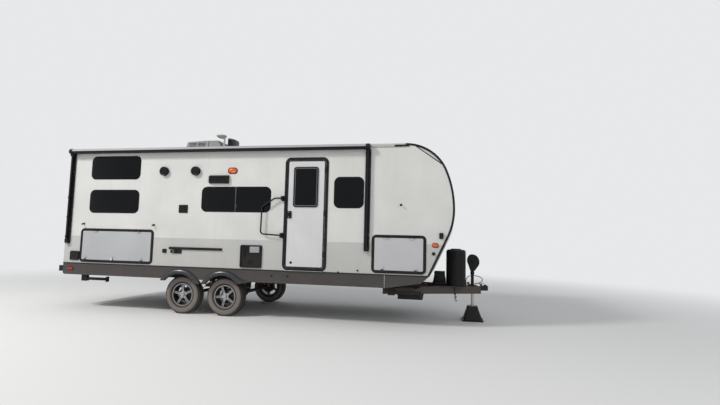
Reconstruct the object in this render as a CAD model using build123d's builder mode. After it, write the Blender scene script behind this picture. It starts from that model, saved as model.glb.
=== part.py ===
from build123d import *
from math import cos, radians, sin, sqrt, tan
import os

os.makedirs("parts", exist_ok=True)

# A travel caravan on two axles. Millimetres, +X forward to the coupler, +Z up.
# The side with the entry door is -Y and the ground is Z 0.

# body
body_l = 7350
half_w = 1219
wall_z = 850
belt_z = 1370
roof_z = 3050
wall_t = 50
cap_t = 40
floor_t = 80
roof_t = 80
crown = 60
skirt_h = 215
skirt_t = 8
fit = 0.3

# nose outline
nose_z = 1935
nose_sweep = 400
nose_lean = 25.3
nose_rise = 22.5
nose_r = 1715

# what stands on the tongue, from the nose foot to the tip
battery_gap = 42
battery_l = 208
battery_w = 370
gas_gap = 5
gas_r = 175
jack_gap = 125
jack_to_tip = 280
bumper_reach = 200
tongue_reach = battery_gap + battery_l + gas_gap + 2 * gas_r + jack_gap + jack_to_tip - nose_sweep
overall = bumper_reach + body_l + tongue_reach

# places along the length
tip_x = overall / 2
bumper_x = -overall / 2
rear_x = bumper_x + bumper_reach
nose_x = rear_x + body_l
nose_foot_x = nose_x - nose_sweep
battery_x = nose_foot_x + battery_gap + battery_l / 2
gas_x = battery_x + battery_l / 2 + gas_gap + gas_r
jack_x = gas_x + gas_r + jack_gap

# wheels
tyre_r = 344
tyre_w = 205
bead_r = 192
rim_r = 202
axle_gap = 838
axle_back = 2900
wheel_inset = 202
axle_mid_x = rear_x + axle_back
axle_x = (axle_mid_x + axle_gap / 2, axle_mid_x - axle_gap / 2)
wheel_y = half_w - wheel_inset

# frame
rail_h = 150
rail_w = 76
flange_t = 8
web_t = 10
rail_inset = 217
rail_y = wheel_y - rail_inset
rail_top = wall_z - floor_t
rail_low = rail_top - rail_h
rail_back_x = rear_x + 10
rail_front_x = nose_foot_x - 170
tongue_h = 127
tongue_w = 50
tongue_low = rail_low - tongue_h
tongue_back_x = rail_front_x - 650
tongue_front_x = tip_x - 130
tongue_back_y = rail_y - 15
tongue_front_y = 45
plate_t = 10
bed_z = rail_low + plate_t


def block(x0, x1, y0, y1, z0, z1, mode=Mode.ADD):
    with Locations(((x0 + x1) / 2, (y0 + y1) / 2, (z0 + z1) / 2)):
        Box(x1 - x0, y1 - y0, z1 - z0, mode=mode)


def rod(x, y0, y1, z, radius, mode=Mode.ADD):
    """Round bar along Y."""
    with Locations(Location((x, (y0 + y1) / 2, z), (90, 0, 0))):
        Cylinder(radius, abs(y1 - y0), mode=mode)


def save(piece, label):
    piece.label = label
    export_step(piece, "parts/" + label + ".step")


def side(y):
    """Side plane at y. Its X is row X, its Y is row Z and it faces -Y."""
    return Plane.XZ.offset(-y)


def nose_points(inset):
    """The nose outline from the foot to the roof, inset along its normal."""
    lean = radians(nose_lean)
    rise = radians(nose_rise)
    corner_z = wall_z + nose_sweep / tan(lean)
    low_r = (nose_z - corner_z) / tan(lean / 2)
    top_r = (roof_z - nose_z - nose_r * sin(rise)) / (1 - sin(rise))
    low_c = (nose_x - low_r, nose_z)
    mid_c = (nose_x - nose_r, nose_z)
    top_c = (
        mid_c[0] + (nose_r - top_r) * cos(rise),
        mid_c[1] + (nose_r - top_r) * sin(rise),
    )
    half = lean / 2
    turn = (rise + radians(90)) / 2
    return [
        (nose_foot_x - inset / cos(lean), wall_z),
        (low_c[0] + (low_r - inset) * cos(lean), low_c[1] - (low_r - inset) * sin(lean)),
        (low_c[0] + (low_r - inset) * cos(half), low_c[1] - (low_r - inset) * sin(half)),
        (nose_x - inset, nose_z),
        (mid_c[0] + (nose_r - inset) * cos(rise / 2), mid_c[1] + (nose_r - inset) * sin(rise / 2)),
        (mid_c[0] + (nose_r - inset) * cos(rise), mid_c[1] + (nose_r - inset) * sin(rise)),
        (top_c[0] + (top_r - inset) * cos(turn), top_c[1] + (top_r - inset) * sin(turn)),
        (top_c[0], top_c[1] + top_r - inset),
    ]


nose = nose_points(0)
roof_front_x = nose[7][0]


def nose_face(plane):
    """Side outline of the body: rear edge, floor line, nose and roof line."""
    with BuildSketch(plane) as face:
        with BuildLine():
            Polyline(nose[7], (rear_x, roof_z), (rear_x, wall_z), nose[0], nose[1])
            ThreePointArc(nose[1], nose[2], nose[3])
            ThreePointArc(nose[3], nose[4], nose[5])
            ThreePointArc(nose[5], nose[6], nose[7])
        make_face()
    return face.sketch


def nose_band(plane, inset):
    """Band that follows the nose outline, as wide as the inset."""
    a = nose_points(0)
    b = nose_points(inset)
    with BuildSketch(plane) as face:
        with BuildLine():
            Line(a[0], a[1])
            ThreePointArc(a[1], a[2], a[3])
            ThreePointArc(a[3], a[4], a[5])
            ThreePointArc(a[5], a[6], a[7])
            Line(a[7], b[7])
            ThreePointArc(b[7], b[6], b[5])
            ThreePointArc(b[5], b[4], b[3])
            ThreePointArc(b[3], b[2], b[1])
            Line(b[1], b[0])
            Line(b[0], a[0])
        make_face()
    return face.sketch


def opening(x0, length, z0, height, radius):
    """A rounded opening of a side: x0, x1, z0, z1, corner radius."""
    return (x0, x0 + length, z0, z0 + height, radius)


def pane(plane, outline, grow=0):
    """Rounded rectangle of an opening on a side plane, grown outwards by grow."""
    x0, x1, z0, z1, radius = outline
    with BuildSketch(plane) as face:
        with Locations(((x0 + x1) / 2, (z0 + z1) / 2)):
            RectangleRounded(x1 - x0 + 2 * grow, z1 - z0 + 2 * grow, radius + grow)
    return face.sketch


# openings of the door side
glass_r = 65
bay_r = 60
bay_low = wall_z + 35
entry_low = wall_z + 20
entry_l = 770
entry = opening(nose_x - 2915, entry_l, entry_low, roof_z - 230 - entry_low, 85)
rear_bay = opening(rear_x + 360, 1540, bay_low, 620, bay_r)
front_bay = opening(nose_foot_x - 950, 885, bay_low, 615, bay_r)
door_windows = [
    opening(rear_x + 490, 1055, roof_z - 595, 440, glass_r),
    opening(rear_x + 495, 1055, roof_z - 1235, 435, glass_r),
    opening(axle_mid_x - 60, 1330, roof_z - 1190, 450, glass_r),
    opening(entry[1] + 115, 515, roof_z - 1100, 530, glass_r),
]
door_glass = opening(entry[0] + 160, entry_l - 330, entry[3] - 860, 695, 35)

# openings of the off side
off_bay = front_bay
off_windows = [
    opening(rear_x + 1630, 700, roof_z - 1100, 450, glass_r),
    opening(axle_mid_x - 20, 1500, roof_z - 1200, 600, glass_r),
    opening(nose_x - 1140, 500, roof_z - 1100, 530, glass_r),
]

# how panes, rings, frames and leaves lap the openings
glass_lap = 15
glass_t = 7
ring_w = 20
frame_lap = 10
frame_w = 34
frame_proud = 12
seam = 6
leaf_t = 45
leaf_proud = 10
leaf_out = half_w + leaf_proud
hinge_out = 21
pin_r = 6
knuckle_l = 50
inner_y = half_w - wall_t

# floor and shell
with BuildPart() as floor:
    with BuildSketch(side(skirt_t + fit - half_w)) as floor_line:
        with BuildLine():
            Polyline(
                (rear_x, wall_z),
                (rear_x, rail_top),
                (nose_foot_x - 93, rail_top),
                nose[0],
                (rear_x, wall_z),
            )
        make_face()
    extrude(amount=-2 * (half_w - skirt_t - fit))
save(floor.part, "floor")

# the sloping facet of each upper nose corner starts on this line
facet_in = 30
facet_low = (nose_x - 50, roof_z - 473)
facet_high = (nose_x - 770, roof_z + 41)
facet_line = [facet_high, facet_low, (nose_x + 230, roof_z + 150), (nose_x - 770, roof_z + 150)]


def wall(y_low, y_high, windows, doors):
    """One side wall: outline down to the floor, cut for windows, doors and the nose facet."""
    plane = side(y_high)
    with BuildPart() as shell:
        extrude(nose_face(plane), amount=wall_t)
        block(rear_x - 1, roof_front_x, y_low - 1, y_high + 1, roof_z - roof_t, roof_z + 1, Mode.SUBTRACT)
        with BuildSketch(plane) as corner:
            with BuildLine():
                Polyline(*facet_line, facet_line[0])
            make_face()
        extrude(corner.sketch, amount=wall_t, mode=Mode.SUBTRACT)
        for outline in windows:
            extrude(pane(plane, outline, -glass_lap), amount=wall_t, mode=Mode.SUBTRACT)
        for outline in doors:
            extrude(pane(plane, outline, -frame_lap), amount=wall_t, mode=Mode.SUBTRACT)
    return shell.part


save(wall(-half_w, -inner_y, door_windows, [entry, rear_bay, front_bay]), "wall_door_side")
save(wall(inner_y, half_w, off_windows, [off_bay]), "wall_off_side")

# solid corner behind the facet, made for the door side and mirrored
with BuildPart() as corner_fill:
    with BuildSketch(side(-inner_y)) as corner_face:
        with BuildLine():
            Polyline(*facet_line, facet_line[0])
        make_face()
        add(nose_face(side(-inner_y)), mode=Mode.INTERSECT)
    extrude(amount=wall_t)
    along = Vector(facet_low[0] - facet_high[0], 0, facet_low[1] - facet_high[1]).normalized()
    across = Vector(-along.Z, 0, along.X) * 110 + Vector(0, facet_in, 0)
    facet_at = Vector(facet_high[0], -half_w, facet_high[1])
    split(bisect_by=Plane(origin=facet_at, x_dir=along, z_dir=along.cross(across)), keep=Keep.BOTTOM)

with BuildPart() as front_cap:
    extrude(nose_band(side(inner_y), cap_t), amount=2 * inner_y)
    add(corner_fill.part)
    add(corner_fill.part.mirror(Plane.XZ))
    block(roof_front_x - 400, roof_front_x, -half_w, half_w, roof_z - 250, roof_z + 250, Mode.SUBTRACT)
save(front_cap.part, "front_cap")


def roof_end(x, rise):
    """Cross-section of the roof, which is crowned in the middle by rise."""
    with BuildSketch(Plane.YZ.offset(x)) as face:
        with BuildLine():
            ThreePointArc((-half_w, roof_z), (0, roof_z + rise), (half_w, roof_z))
            Polyline((half_w, roof_z), (half_w, roof_z - roof_t), (-half_w, roof_z - roof_t), (-half_w, roof_z))
        make_face()
    return face.sketch


with BuildPart() as roof:
    crown_end_x = roof_front_x - 500
    extrude(roof_end(rear_x, crown), amount=crown_end_x - rear_x)
    loft(sections=[roof_end(crown_end_x, crown), roof_end(roof_front_x, 1)])
save(roof.part, "roof")

with BuildPart() as rear_wall:
    block(rear_x, rear_x + wall_t, -inner_y, inner_y, wall_z, roof_z - roof_t)
save(rear_wall.part, "rear_wall")

# skirts below the walls, cut round for the wheels
arch_z = tyre_r + 15
arch_gap = 41
arch_in_r = tyre_r + 24
arch_out_r = tyre_r + 118
arch_deep = 45
skirt_low = wall_z - skirt_h


def skirt(y_high):
    with BuildPart() as panel:
        with BuildSketch(side(y_high)) as outline:
            with BuildLine():
                Polyline(
                    (rear_x, wall_z),
                    (rear_x, skirt_low + 30),
                    (rear_x + 30, skirt_low),
                    (nose_foot_x - 710, skirt_low),
                    (nose_foot_x - 140, skirt_low + 95),
                    (nose_foot_x, wall_z),
                    (rear_x, wall_z),
                )
            make_face()
            with Locations(*[(x, tyre_r) for x in axle_x]):
                Circle(tyre_r + arch_gap, mode=Mode.SUBTRACT)
        extrude(amount=skirt_t)
    return panel.part


with BuildPart() as skirts:
    add(skirt(skirt_t - half_w))
    add(skirt(half_w))
    block(rear_x, rear_x + skirt_t, skirt_t - half_w, half_w - skirt_t, skirt_low + 25, rail_top)
    for y in (-rail_y, rail_y):
        block(rear_x - 1, rail_back_x, y - 45, y + 45, skirt_low, rail_top - 3, Mode.SUBTRACT)
save(skirts.part, "skirts")

# moulded fenders over each pair of wheels, with a tail that runs out along the skirt
tail_l = 570
arch_end_z = skirt_low - 35
arch_join_z = skirt_low - 70


def arch(x, outward):
    """One convex arch about a wheel, cut level at its end and square midway between the wheels."""
    low = -half_w - 2 * arch_deep
    reach = arch_out_r + 20
    crest_r = arch_in_r + 30
    with BuildPart() as ring:
        with BuildSketch(Plane(origin=(x, -half_w, arch_z), x_dir=(1, 0, 0), z_dir=(0, 0, 1))):
            with BuildLine():
                TangentArc((crest_r, -arch_deep), (arch_out_r, 0), tangent=(1, 0))
                Polyline(
                    (arch_out_r, 0),
                    (arch_in_r, 0),
                    (arch_in_r, 14 - arch_deep),
                    (arch_in_r + 12, -arch_deep),
                    (crest_r, -arch_deep),
                )
            make_face()
        revolve(axis=Axis((x, 0, arch_z), (0, 1, 0)))
        x0, x1 = sorted((x, x + outward * reach))
        block(x0, x1, low, 1 - half_w, arch_z - reach, arch_end_z, Mode.SUBTRACT)
        x0, x1 = sorted((x, axle_mid_x))
        block(x0 - 1, x1 + 1, low, 1 - half_w, arch_z - reach, arch_join_z, Mode.SUBTRACT)
        x0, x1 = sorted((axle_mid_x, axle_mid_x - outward * reach))
        block(x0, x1, low, 1 - half_w, arch_z - reach, arch_z + reach, Mode.SUBTRACT)
    return ring.part


def fender_pair():
    """The door side pair: two arches and the tail."""
    front_x, back_x = axle_x
    with BuildPart() as pair:
        add(arch(front_x, 1))
        add(arch(back_x, -1))
    with BuildPart() as tail:
        with BuildSketch(side(-half_w)) as tail_line:
            with BuildLine():
                ThreePointArc(
                    (front_x + 315, arch_z + 338),
                    (front_x + 425, skirt_low + 22),
                    (front_x + tail_l, skirt_low + 4),
                )
                Polyline(
                    (front_x + tail_l, skirt_low + 4),
                    (front_x + 400, skirt_low - 28),
                    (front_x + 285, arch_end_z),
                    (front_x + 315, arch_z + 338),
                )
            make_face()
        extrude(amount=arch_deep)
        with BuildSketch(Plane.XY.offset(arch_end_z - 50)) as taper_line:
            with BuildLine():
                Polyline(
                    (front_x + 200, -half_w),
                    (front_x + 200, -half_w - 36),
                    (front_x + 360, -half_w - 30),
                    (front_x + tail_l + 1, -half_w - 8),
                    (front_x + tail_l + 1, -half_w),
                    (front_x + 200, -half_w),
                )
            make_face()
        extrude(amount=400, mode=Mode.INTERSECT)
    with BuildPart() as whole:
        add(pair.part)
        add(tail.part)
    return whole.part


with BuildPart() as fenders:
    door_pair = fender_pair()
    add(door_pair)
    add(door_pair.mirror(Plane.XZ))
save(fenders.part, "fenders")

# black edge strips: the nose, the floor line and the gutter under the roof
strip_t = 8
strip_w = 34
gutter_t = 16
with BuildPart() as edge_trim:
    for s in (-1, 1):
        y_high = half_w + strip_t if s > 0 else -half_w
        extrude(nose_band(side(y_high), strip_w), amount=strip_t)
        y0, y1 = sorted((s * half_w, s * (half_w + strip_t)))
        block(rear_x, nose_foot_x - 30, y0, y1, wall_z - 6, wall_z + 10)
        y0, y1 = sorted((s * half_w, s * (half_w + gutter_t)))
        block(rear_x, roof_front_x + 60, y0, y1, roof_z - 56, roof_z - 26)
        # the strip reaches down to the facet
        facet_plane = side(half_w if s > 0 else -inner_y)
        with BuildSketch(facet_plane) as facet_strip:
            add(nose_band(facet_plane, strip_w))
            with BuildLine():
                Polyline(*facet_line, facet_line[0])
            make_face(mode=Mode.INTERSECT)
        extrude(facet_strip.sketch, amount=wall_t)
    add(front_cap.part, mode=Mode.SUBTRACT)
save(edge_trim.part, "edge_trim")


def window_rings(y_high, windows):
    """Black frames that line the window openings."""
    with BuildPart() as rings:
        for outline in windows:
            extrude(pane(side(y_high), outline, -glass_lap), amount=wall_t)
        for outline in windows:
            extrude(pane(side(y_high), outline, -glass_lap - ring_w), amount=wall_t, mode=Mode.SUBTRACT)
    return rings.part


def window_panes(y_high, windows):
    with BuildPart() as panes:
        for outline in windows:
            extrude(pane(side(y_high), outline), amount=glass_t)
    return panes.part


with BuildPart() as windows:
    add(window_panes(-half_w, door_windows))
    add(window_panes(half_w + glass_t, off_windows))
save(windows.part, "windows")


def framed(outline, sign):
    """Frame of one opening: a sleeve through the wall and a rounded lip outside."""
    sleeve_plane = side(half_w if sign > 0 else -inner_y)
    lip_plane = side(half_w + frame_proud if sign > 0 else -half_w)
    with BuildPart() as lip:
        extrude(pane(lip_plane, outline), amount=frame_proud)
        outer = lip.faces().sort_by(Axis.Y)[-1 if sign > 0 else 0]
        chamfer(outer.edges(), 4)
    with BuildPart() as whole:
        add(lip.part)
        extrude(pane(sleeve_plane, outline, -frame_lap), amount=wall_t)
        extrude(pane(sleeve_plane, outline, -frame_w), amount=wall_t, mode=Mode.SUBTRACT)
        extrude(pane(lip_plane, outline, -frame_w), amount=frame_proud, mode=Mode.SUBTRACT)
    return whole.part


def knuckles(spans, across, pin_y, along, sign, leaf_side):
    """Hinge knuckles on one pin line. along is Z for a door and X for a top hinged bay.

    leaf_side is True for the knuckles on the leaf, False for those on the frame.
    """
    face_y = sign * leaf_out if leaf_side else sign * (half_w + frame_proud)
    reach = -28 if leaf_side else 26
    with BuildPart() as strap:
        for low, high in spans:
            y0, y1 = sorted((face_y, pin_y))
            a0, a1 = sorted((across, across + reach))
            if along == "Z":
                with Locations(Location((across, pin_y, (low + high) / 2))):
                    Cylinder(pin_r, high - low)
                block(a0, a1, y0, y1, low, high)
            else:
                with Locations(Location(((low + high) / 2, pin_y, across), (0, 90, 0))):
                    Cylinder(pin_r, high - low)
                block(low, high, y0, y1, a0, a1)
    return strap.part


def hinge_spans(centres, leaf_side):
    """Three knuckles a hinge: the middle one on the leaf, the outer two on the frame."""
    half = knuckle_l / 2
    if leaf_side:
        return [(c - half, c + half) for c in centres]
    lows = [(c - knuckle_l, c - half - fit) for c in centres]
    return lows + [(c + half + fit, c + knuckle_l) for c in centres]


pin_out = half_w + hinge_out
entry_pin_x = entry[1] - frame_w - 1
entry_hinges = (entry[2] + 280, (entry[2] + entry[3]) / 2 + 5, entry[3] - 220)
rear_hinges = (rear_bay[0] + 320, rear_bay[1] - 320)
front_hinges = (front_bay[0] + 230, front_bay[1] - 225)


def bay_pin_z(outline):
    return outline[3] - frame_w - 1


with BuildPart() as opening_frames:
    add(framed(entry, -1))
    add(framed(rear_bay, -1))
    add(framed(front_bay, -1))
    add(framed(off_bay, 1))
    add(window_rings(-inner_y, door_windows))
    add(window_rings(half_w, off_windows))
    add(knuckles(hinge_spans(entry_hinges, False), entry_pin_x, -pin_out, "Z", -1, False))
    add(knuckles(hinge_spans(rear_hinges, False), bay_pin_z(rear_bay), -pin_out, "X", -1, False))
    add(knuckles(hinge_spans(front_hinges, False), bay_pin_z(front_bay), -pin_out, "X", -1, False))
    add(knuckles(hinge_spans(front_hinges, False), bay_pin_z(off_bay), pin_out, "X", 1, False))
save(opening_frames.part, "opening_frames")


def leaf(outline, sign):
    y_high = -leaf_out + leaf_t if sign < 0 else leaf_out
    with BuildPart() as panel:
        extrude(pane(side(y_high), outline, -frame_w - seam), amount=leaf_t)
        outer = panel.faces().sort_by(Axis.Y)[-1 if sign > 0 else 0]
        chamfer(outer.edges(), 2)
    return panel.part


with BuildPart() as entry_door:
    add(leaf(entry, -1))
    extrude(pane(side(leaf_t - leaf_out), door_glass, -12), amount=leaf_t, mode=Mode.SUBTRACT)
    add(knuckles(hinge_spans(entry_hinges, True), entry_pin_x, -pin_out, "Z", -1, True))
save(entry_door.part, "entry_door")

with BuildPart() as entry_glass:
    extrude(pane(side(-leaf_out), door_glass), amount=6)
save(entry_glass.part, "entry_glass")

# paddle lock of the entry door: plate, recessed paddle and key rose
lock_x = entry[0] + 95
lock_z = (entry[2] + entry[3]) / 2 - 22
with BuildPart() as entry_lock:
    with BuildSketch(side(-leaf_out)) as lock_plate:
        with Locations((lock_x, lock_z)):
            RectangleRounded(80, 125, 14)
    extrude(amount=14)
    with BuildSketch(side(-leaf_out - 14)) as lock_paddle:
        with Locations((lock_x - 4, lock_z - 8)):
            RectangleRounded(38, 74, 10)
    extrude(amount=18, taper=12)
    rod(lock_x, -leaf_out - 14, -leaf_out - 22, lock_z + 46, 11)
save(entry_lock.part, "entry_lock")


# clips on the wall that hold the raised storage doors
catch_at = (
    (rear_bay[0] + 40, rear_bay[3] + 95),
    (rear_bay[1], rear_bay[3] + 95),
    (front_bay[1] - 415, front_bay[3] + 510),
)


def bay_leaf(outline, sign, hinges, latches):
    """A storage door with its hinge knuckles and the levers that hold its lower edge."""
    latch_z = outline[2] + frame_w + seam
    with BuildPart() as panel:
        add(leaf(outline, sign))
        add(knuckles(hinge_spans(hinges, True), bay_pin_z(outline), sign * pin_out, "X", sign, True))
        for x in latches:
            y0, y1 = sorted((sign * leaf_out, sign * (leaf_out + 12)))
            block(x - 24, x + 24, y0, y1, latch_z + 6, latch_z + 64)
            y0, y1 = sorted((sign * (leaf_out + 5), sign * (leaf_out + 16)))
            block(x - 12, x + 12, y0, y1, latch_z - 22, latch_z + 40)
    return panel.part


rear_latches = (rear_bay[0] + 120, rear_bay[0] + 700, rear_bay[1] - 220)
front_latches = (front_bay[0] + 173, front_bay[1] - 160)
save(bay_leaf(rear_bay, -1, rear_hinges, rear_latches), "rear_bay_door")
save(bay_leaf(front_bay, -1, front_hinges, front_latches), "front_bay_door")
save(bay_leaf(off_bay, 1, front_hinges, front_latches), "off_bay_door")

# grab handle, folded back flat beside the door, on two brackets
handle_x = entry[0] - 35
handle_y = -half_w - 62
handle_r = 13
handle_low = entry_low + 590
handle_high = handle_low + 645
bracket_t = 10
bracket_half = 36
with BuildPart() as grab_handle:
    with BuildLine() as bow:
        FilletPolyline(
            (handle_x, handle_y, handle_high),
            (handle_x - 130, handle_y, handle_high),
            (handle_x - 360, handle_y, handle_high - 155),
            (handle_x - 370, handle_y, handle_low + 20),
            (handle_x, handle_y, handle_low),
            radius=60,
        )
    with BuildSketch(Plane(origin=(handle_x, handle_y, handle_high), z_dir=(-1, 0, 0))) as tube:
        Circle(handle_r)
    sweep(tube.sketch, path=bow.line)
    for z in (handle_low, handle_high):
        with Locations((handle_x, handle_y, z)):
            Cylinder(handle_r + 4, 2 * (bracket_half - bracket_t - fit))
save(grab_handle.part, "grab_handle")


def i_beam(x0, x1, y):
    """Main rail: an I section run along X."""
    with BuildPart() as beam:
        with BuildSketch(Plane.YZ.offset(x0)) as section:
            with Locations((y, (rail_low + rail_top) / 2)):
                Rectangle(web_t, rail_h)
            with Locations((y, rail_low + flange_t / 2), (y, rail_top - flange_t / 2)):
                Rectangle(rail_w, flange_t)
        extrude(amount=x1 - x0)
    return beam.part


with BuildPart() as chassis_frame:
    add(i_beam(rail_back_x, rail_front_x, -rail_y))
    add(i_beam(rail_back_x, rail_front_x, rail_y))
save(chassis_frame.part, "chassis_frame")

# crossmembers between the rails and outriggers that carry the floor's edge
spring_half = 320
hanger_reach = 90
cross_h = 92
cross_w = 50
wing_t = 8


def spread(low, high, count):
    """Evenly spaced places from low to high."""
    return [low + (high - low) * step / (count - 1) for step in range(count)]


cross_x = spread(rail_back_x + 30, axle_x[1] - spring_half - hanger_reach, 3)
cross_x += spread(axle_x[0] + spring_half + hanger_reach, rail_front_x - 30, 4)
cross_y = rail_y - web_t / 2 - fit
cross_top = rail_top - flange_t - fit
with BuildPart() as crossmembers:
    for x in cross_x:
        with BuildSketch(Plane.YZ.offset(x - cross_w / 2)) as member:
            with Locations((0, cross_top - cross_h / 2)):
                Rectangle(2 * cross_y, cross_h)
        extrude(amount=cross_w)
        block(x - cross_w / 2 + 6, x + cross_w, -cross_y, cross_y, cross_top - cross_h + 6, cross_top - 6, Mode.SUBTRACT)
        for s in (-1, 1):
            with BuildSketch(Plane.YZ.offset(x - wing_t / 2)) as wing:
                with BuildLine():
                    Polyline(
                        (s * (rail_y + web_t / 2 + fit), cross_top),
                        (s * (half_w - skirt_t - 3), cross_top),
                        (s * (half_w - skirt_t - 3), cross_top - 36),
                        (s * (rail_y + web_t / 2 + fit), cross_top - cross_h),
                        (s * (rail_y + web_t / 2 + fit), cross_top),
                    )
                make_face()
            extrude(amount=wing_t)
save(crossmembers.part, "crossmembers")

# tandem leaf springs: four leaves each, eyes at the ends, one rocker between each pair
eye_z = tyre_r + 156
eye_r = 18
eye_l = 49.4
spring_sag = 76
spring_w = 44
leaf_h = 8
pin_y_r = 8
hanger_t = 6
hanger_in = 25
rocker_t = 5
rocker_in = hanger_in + hanger_t + fit
rocker_top_z = eye_z + 62
rocker_reach = axle_gap / 2 - spring_half
bow_r = (spring_half ** 2 + spring_sag ** 2) / (2 * spring_sag)
seat_z = eye_z - spring_sag - 4 * leaf_h


def leaf_pack(x, y):
    """Spring over one axle end: the main leaf with its eyes and three shorter ones below."""
    bow_z = eye_z - spring_sag + bow_r
    with BuildPart() as pack:
        for step, half in enumerate((spring_half, 235, 155, 80)):
            with BuildSketch(side(y + spring_w / 2)) as blade:
                with Locations((x, bow_z)):
                    Circle(bow_r + (step + 1) * leaf_h)
                    Circle(bow_r + step * leaf_h, mode=Mode.SUBTRACT)
                with Locations((x, bow_z - bow_r)):
                    Rectangle(2 * half, 2 * spring_sag + 4 * leaf_h, mode=Mode.INTERSECT)
            extrude(amount=spring_w)
        for end_x in (x - spring_half, x + spring_half):
            rod(end_x, y - eye_l / 2, y + eye_l / 2, eye_z, eye_r)
        for end_x in (x - spring_half, x + spring_half):
            rod(end_x, y - eye_l / 2, y + eye_l / 2, eye_z, pin_y_r + fit, Mode.SUBTRACT)
    return pack.part


def rocker(y):
    """Equaliser: two triangular plates joined by the pins of the inner spring eyes."""
    with BuildPart() as plates:
        for y_high in (y - rocker_in, y + rocker_in + rocker_t):
            with BuildSketch(side(y_high)) as plate:
                with Locations((axle_mid_x - rocker_reach, eye_z), (axle_mid_x + rocker_reach, eye_z)):
                    Circle(22)
                with Locations((axle_mid_x, rocker_top_z)):
                    Circle(24)
                with BuildLine():
                    Polyline(
                        (axle_mid_x - rocker_reach, eye_z - 22),
                        (axle_mid_x + rocker_reach, eye_z - 22),
                        (axle_mid_x + rocker_reach + 14, eye_z + 17),
                        (axle_mid_x + 16, rocker_top_z + 18),
                        (axle_mid_x - 16, rocker_top_z + 18),
                        (axle_mid_x - rocker_reach - 14, eye_z + 17),
                        (axle_mid_x - rocker_reach, eye_z - 22),
                    )
                make_face()
            extrude(amount=rocker_t)
        for x, z in ((-rocker_reach, eye_z), (rocker_reach, eye_z), (0, rocker_top_z)):
            rod(axle_mid_x + x, y - rocker_in, y + rocker_in, z, pin_y_r)
    return plates.part


with BuildPart() as leaf_springs:
    for s in (-1, 1):
        for x in axle_x:
            add(leaf_pack(x, s * rail_y))
        add(rocker(s * rail_y))
save(leaf_springs.part, "leaf_springs")

# brackets below the rails: spring hangers and the housings of the stands
stand_l = 520
stand_w = 50
stand_y = rail_y + 95
stand_z = rail_low - 85
stand_pin_r = 10
stand_x = (rail_front_x - 500, rear_x + 205)
housing_t = 6
housing_in = stand_w / 2 + fit
hanger_x = (axle_x[0] + spring_half, axle_x[1] - spring_half)
with BuildPart() as frame_brackets:
    for s in (-1, 1):
        for y_high in (s * rail_y - hanger_in, s * rail_y + hanger_in + hanger_t):
            for x in hanger_x:
                with BuildSketch(side(y_high)) as ear:
                    with Locations((x, eye_z)):
                        Circle(22)
                    with BuildLine():
                        Polyline(
                            (x - 22, eye_z),
                            (x + 22, eye_z),
                            (x + 40, rail_low),
                            (x - 40, rail_low),
                            (x - 22, eye_z),
                        )
                    make_face()
                extrude(amount=hanger_t)
            with BuildSketch(side(y_high)) as ear:
                with Locations((axle_mid_x, rocker_top_z)):
                    Circle(24)
                with BuildLine():
                    Polyline(
                        (axle_mid_x - 24, rocker_top_z),
                        (axle_mid_x + 24, rocker_top_z),
                        (axle_mid_x + 60, rail_low),
                        (axle_mid_x - 60, rail_low),
                        (axle_mid_x - 24, rocker_top_z),
                    )
                make_face()
                with Locations((axle_mid_x, rocker_top_z)):
                    Circle(pin_y_r + fit, mode=Mode.SUBTRACT)
            extrude(amount=hanger_t)
        for x in hanger_x:
            rod(x, s * rail_y - hanger_in - hanger_t, s * rail_y + hanger_in + hanger_t, eye_z, pin_y_r)
        for x in stand_x:
            y = s * stand_y
            y0, y1 = sorted((s * (rail_y - rail_w / 2 + 6), y + s * (housing_in + housing_t)))
            block(x - 45, x + 120, y0, y1, rail_low - 8, rail_low)
            block(x + stand_l - 120, x + stand_l - 70, y0, y1, rail_low - 8, rail_low)
            for y_low in (y - housing_in - housing_t, y + housing_in):
                block(x - 45, x + 75, y_low, y_low + housing_t, rail_low - 130, rail_low - 8)
            rod(x, y - 40, y + 40, stand_z, stand_pin_r + fit, Mode.SUBTRACT)
save(frame_brackets.part, "frame_brackets")


def stand_leg(x, y):
    """One folding stand: box leg, foot plate and the pin that it turns on."""
    half = stand_w / 2
    with BuildPart() as leg:
        block(x - 20, x + stand_l - 6, y - half, y + half, stand_z - half, stand_z + half)
        block(x + stand_l - 6, x + stand_l, y - 45, y + 45, stand_z - 50, stand_z + 50)
        rod(x, y - housing_in - housing_t, y + housing_in + housing_t, stand_z, stand_pin_r)
        block(x + 60, x + stand_l - 60, y - half + 10, y + half - 10, stand_z - half, stand_z + half - 6, Mode.SUBTRACT)
    return leg.part


for end, x in zip(("front", "rear"), stand_x):
    save(stand_leg(x, -stand_y), "stand_" + end + "_door")
    save(stand_leg(x, stand_y), "stand_" + end + "_off")

# axles with their spring seats, clamping plates and brake backing plates
axle_r = 32
drum_plate_r = 125
drum_plate_t = 8
drum_plate_y = wheel_y - 109
with BuildPart() as axles:
    for x in axle_x:
        rod(x, -drum_plate_y, drum_plate_y, tyre_r, axle_r)
        for s in (-1, 1):
            y0, y1 = sorted((s * drum_plate_y, s * (drum_plate_y + drum_plate_t)))
            rod(x, y0, y1, tyre_r, drum_plate_r)
            y = s * rail_y
            block(x - 50, x + 50, y - 34, y + 34, tyre_r + 20, seat_z)
            block(x - 50, x + 50, y - 34, y + 34, tyre_r - axle_r - 8, tyre_r - axle_r)
            for bolt_x in (x - 40, x + 40):
                for bolt_y in (y - 28, y + 28):
                    with Locations((bolt_x, bolt_y, tyre_r + 35)):
                        Cylinder(5, 170)
save(axles.part, "axles")


def tongue_y(x):
    """Distance of the tongue rail's middle from the centreline at x."""
    share = (tongue_front_x - x) / (tongue_front_x - tongue_back_x)
    return tongue_front_y + share * (tongue_back_y - tongue_front_y)


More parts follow.
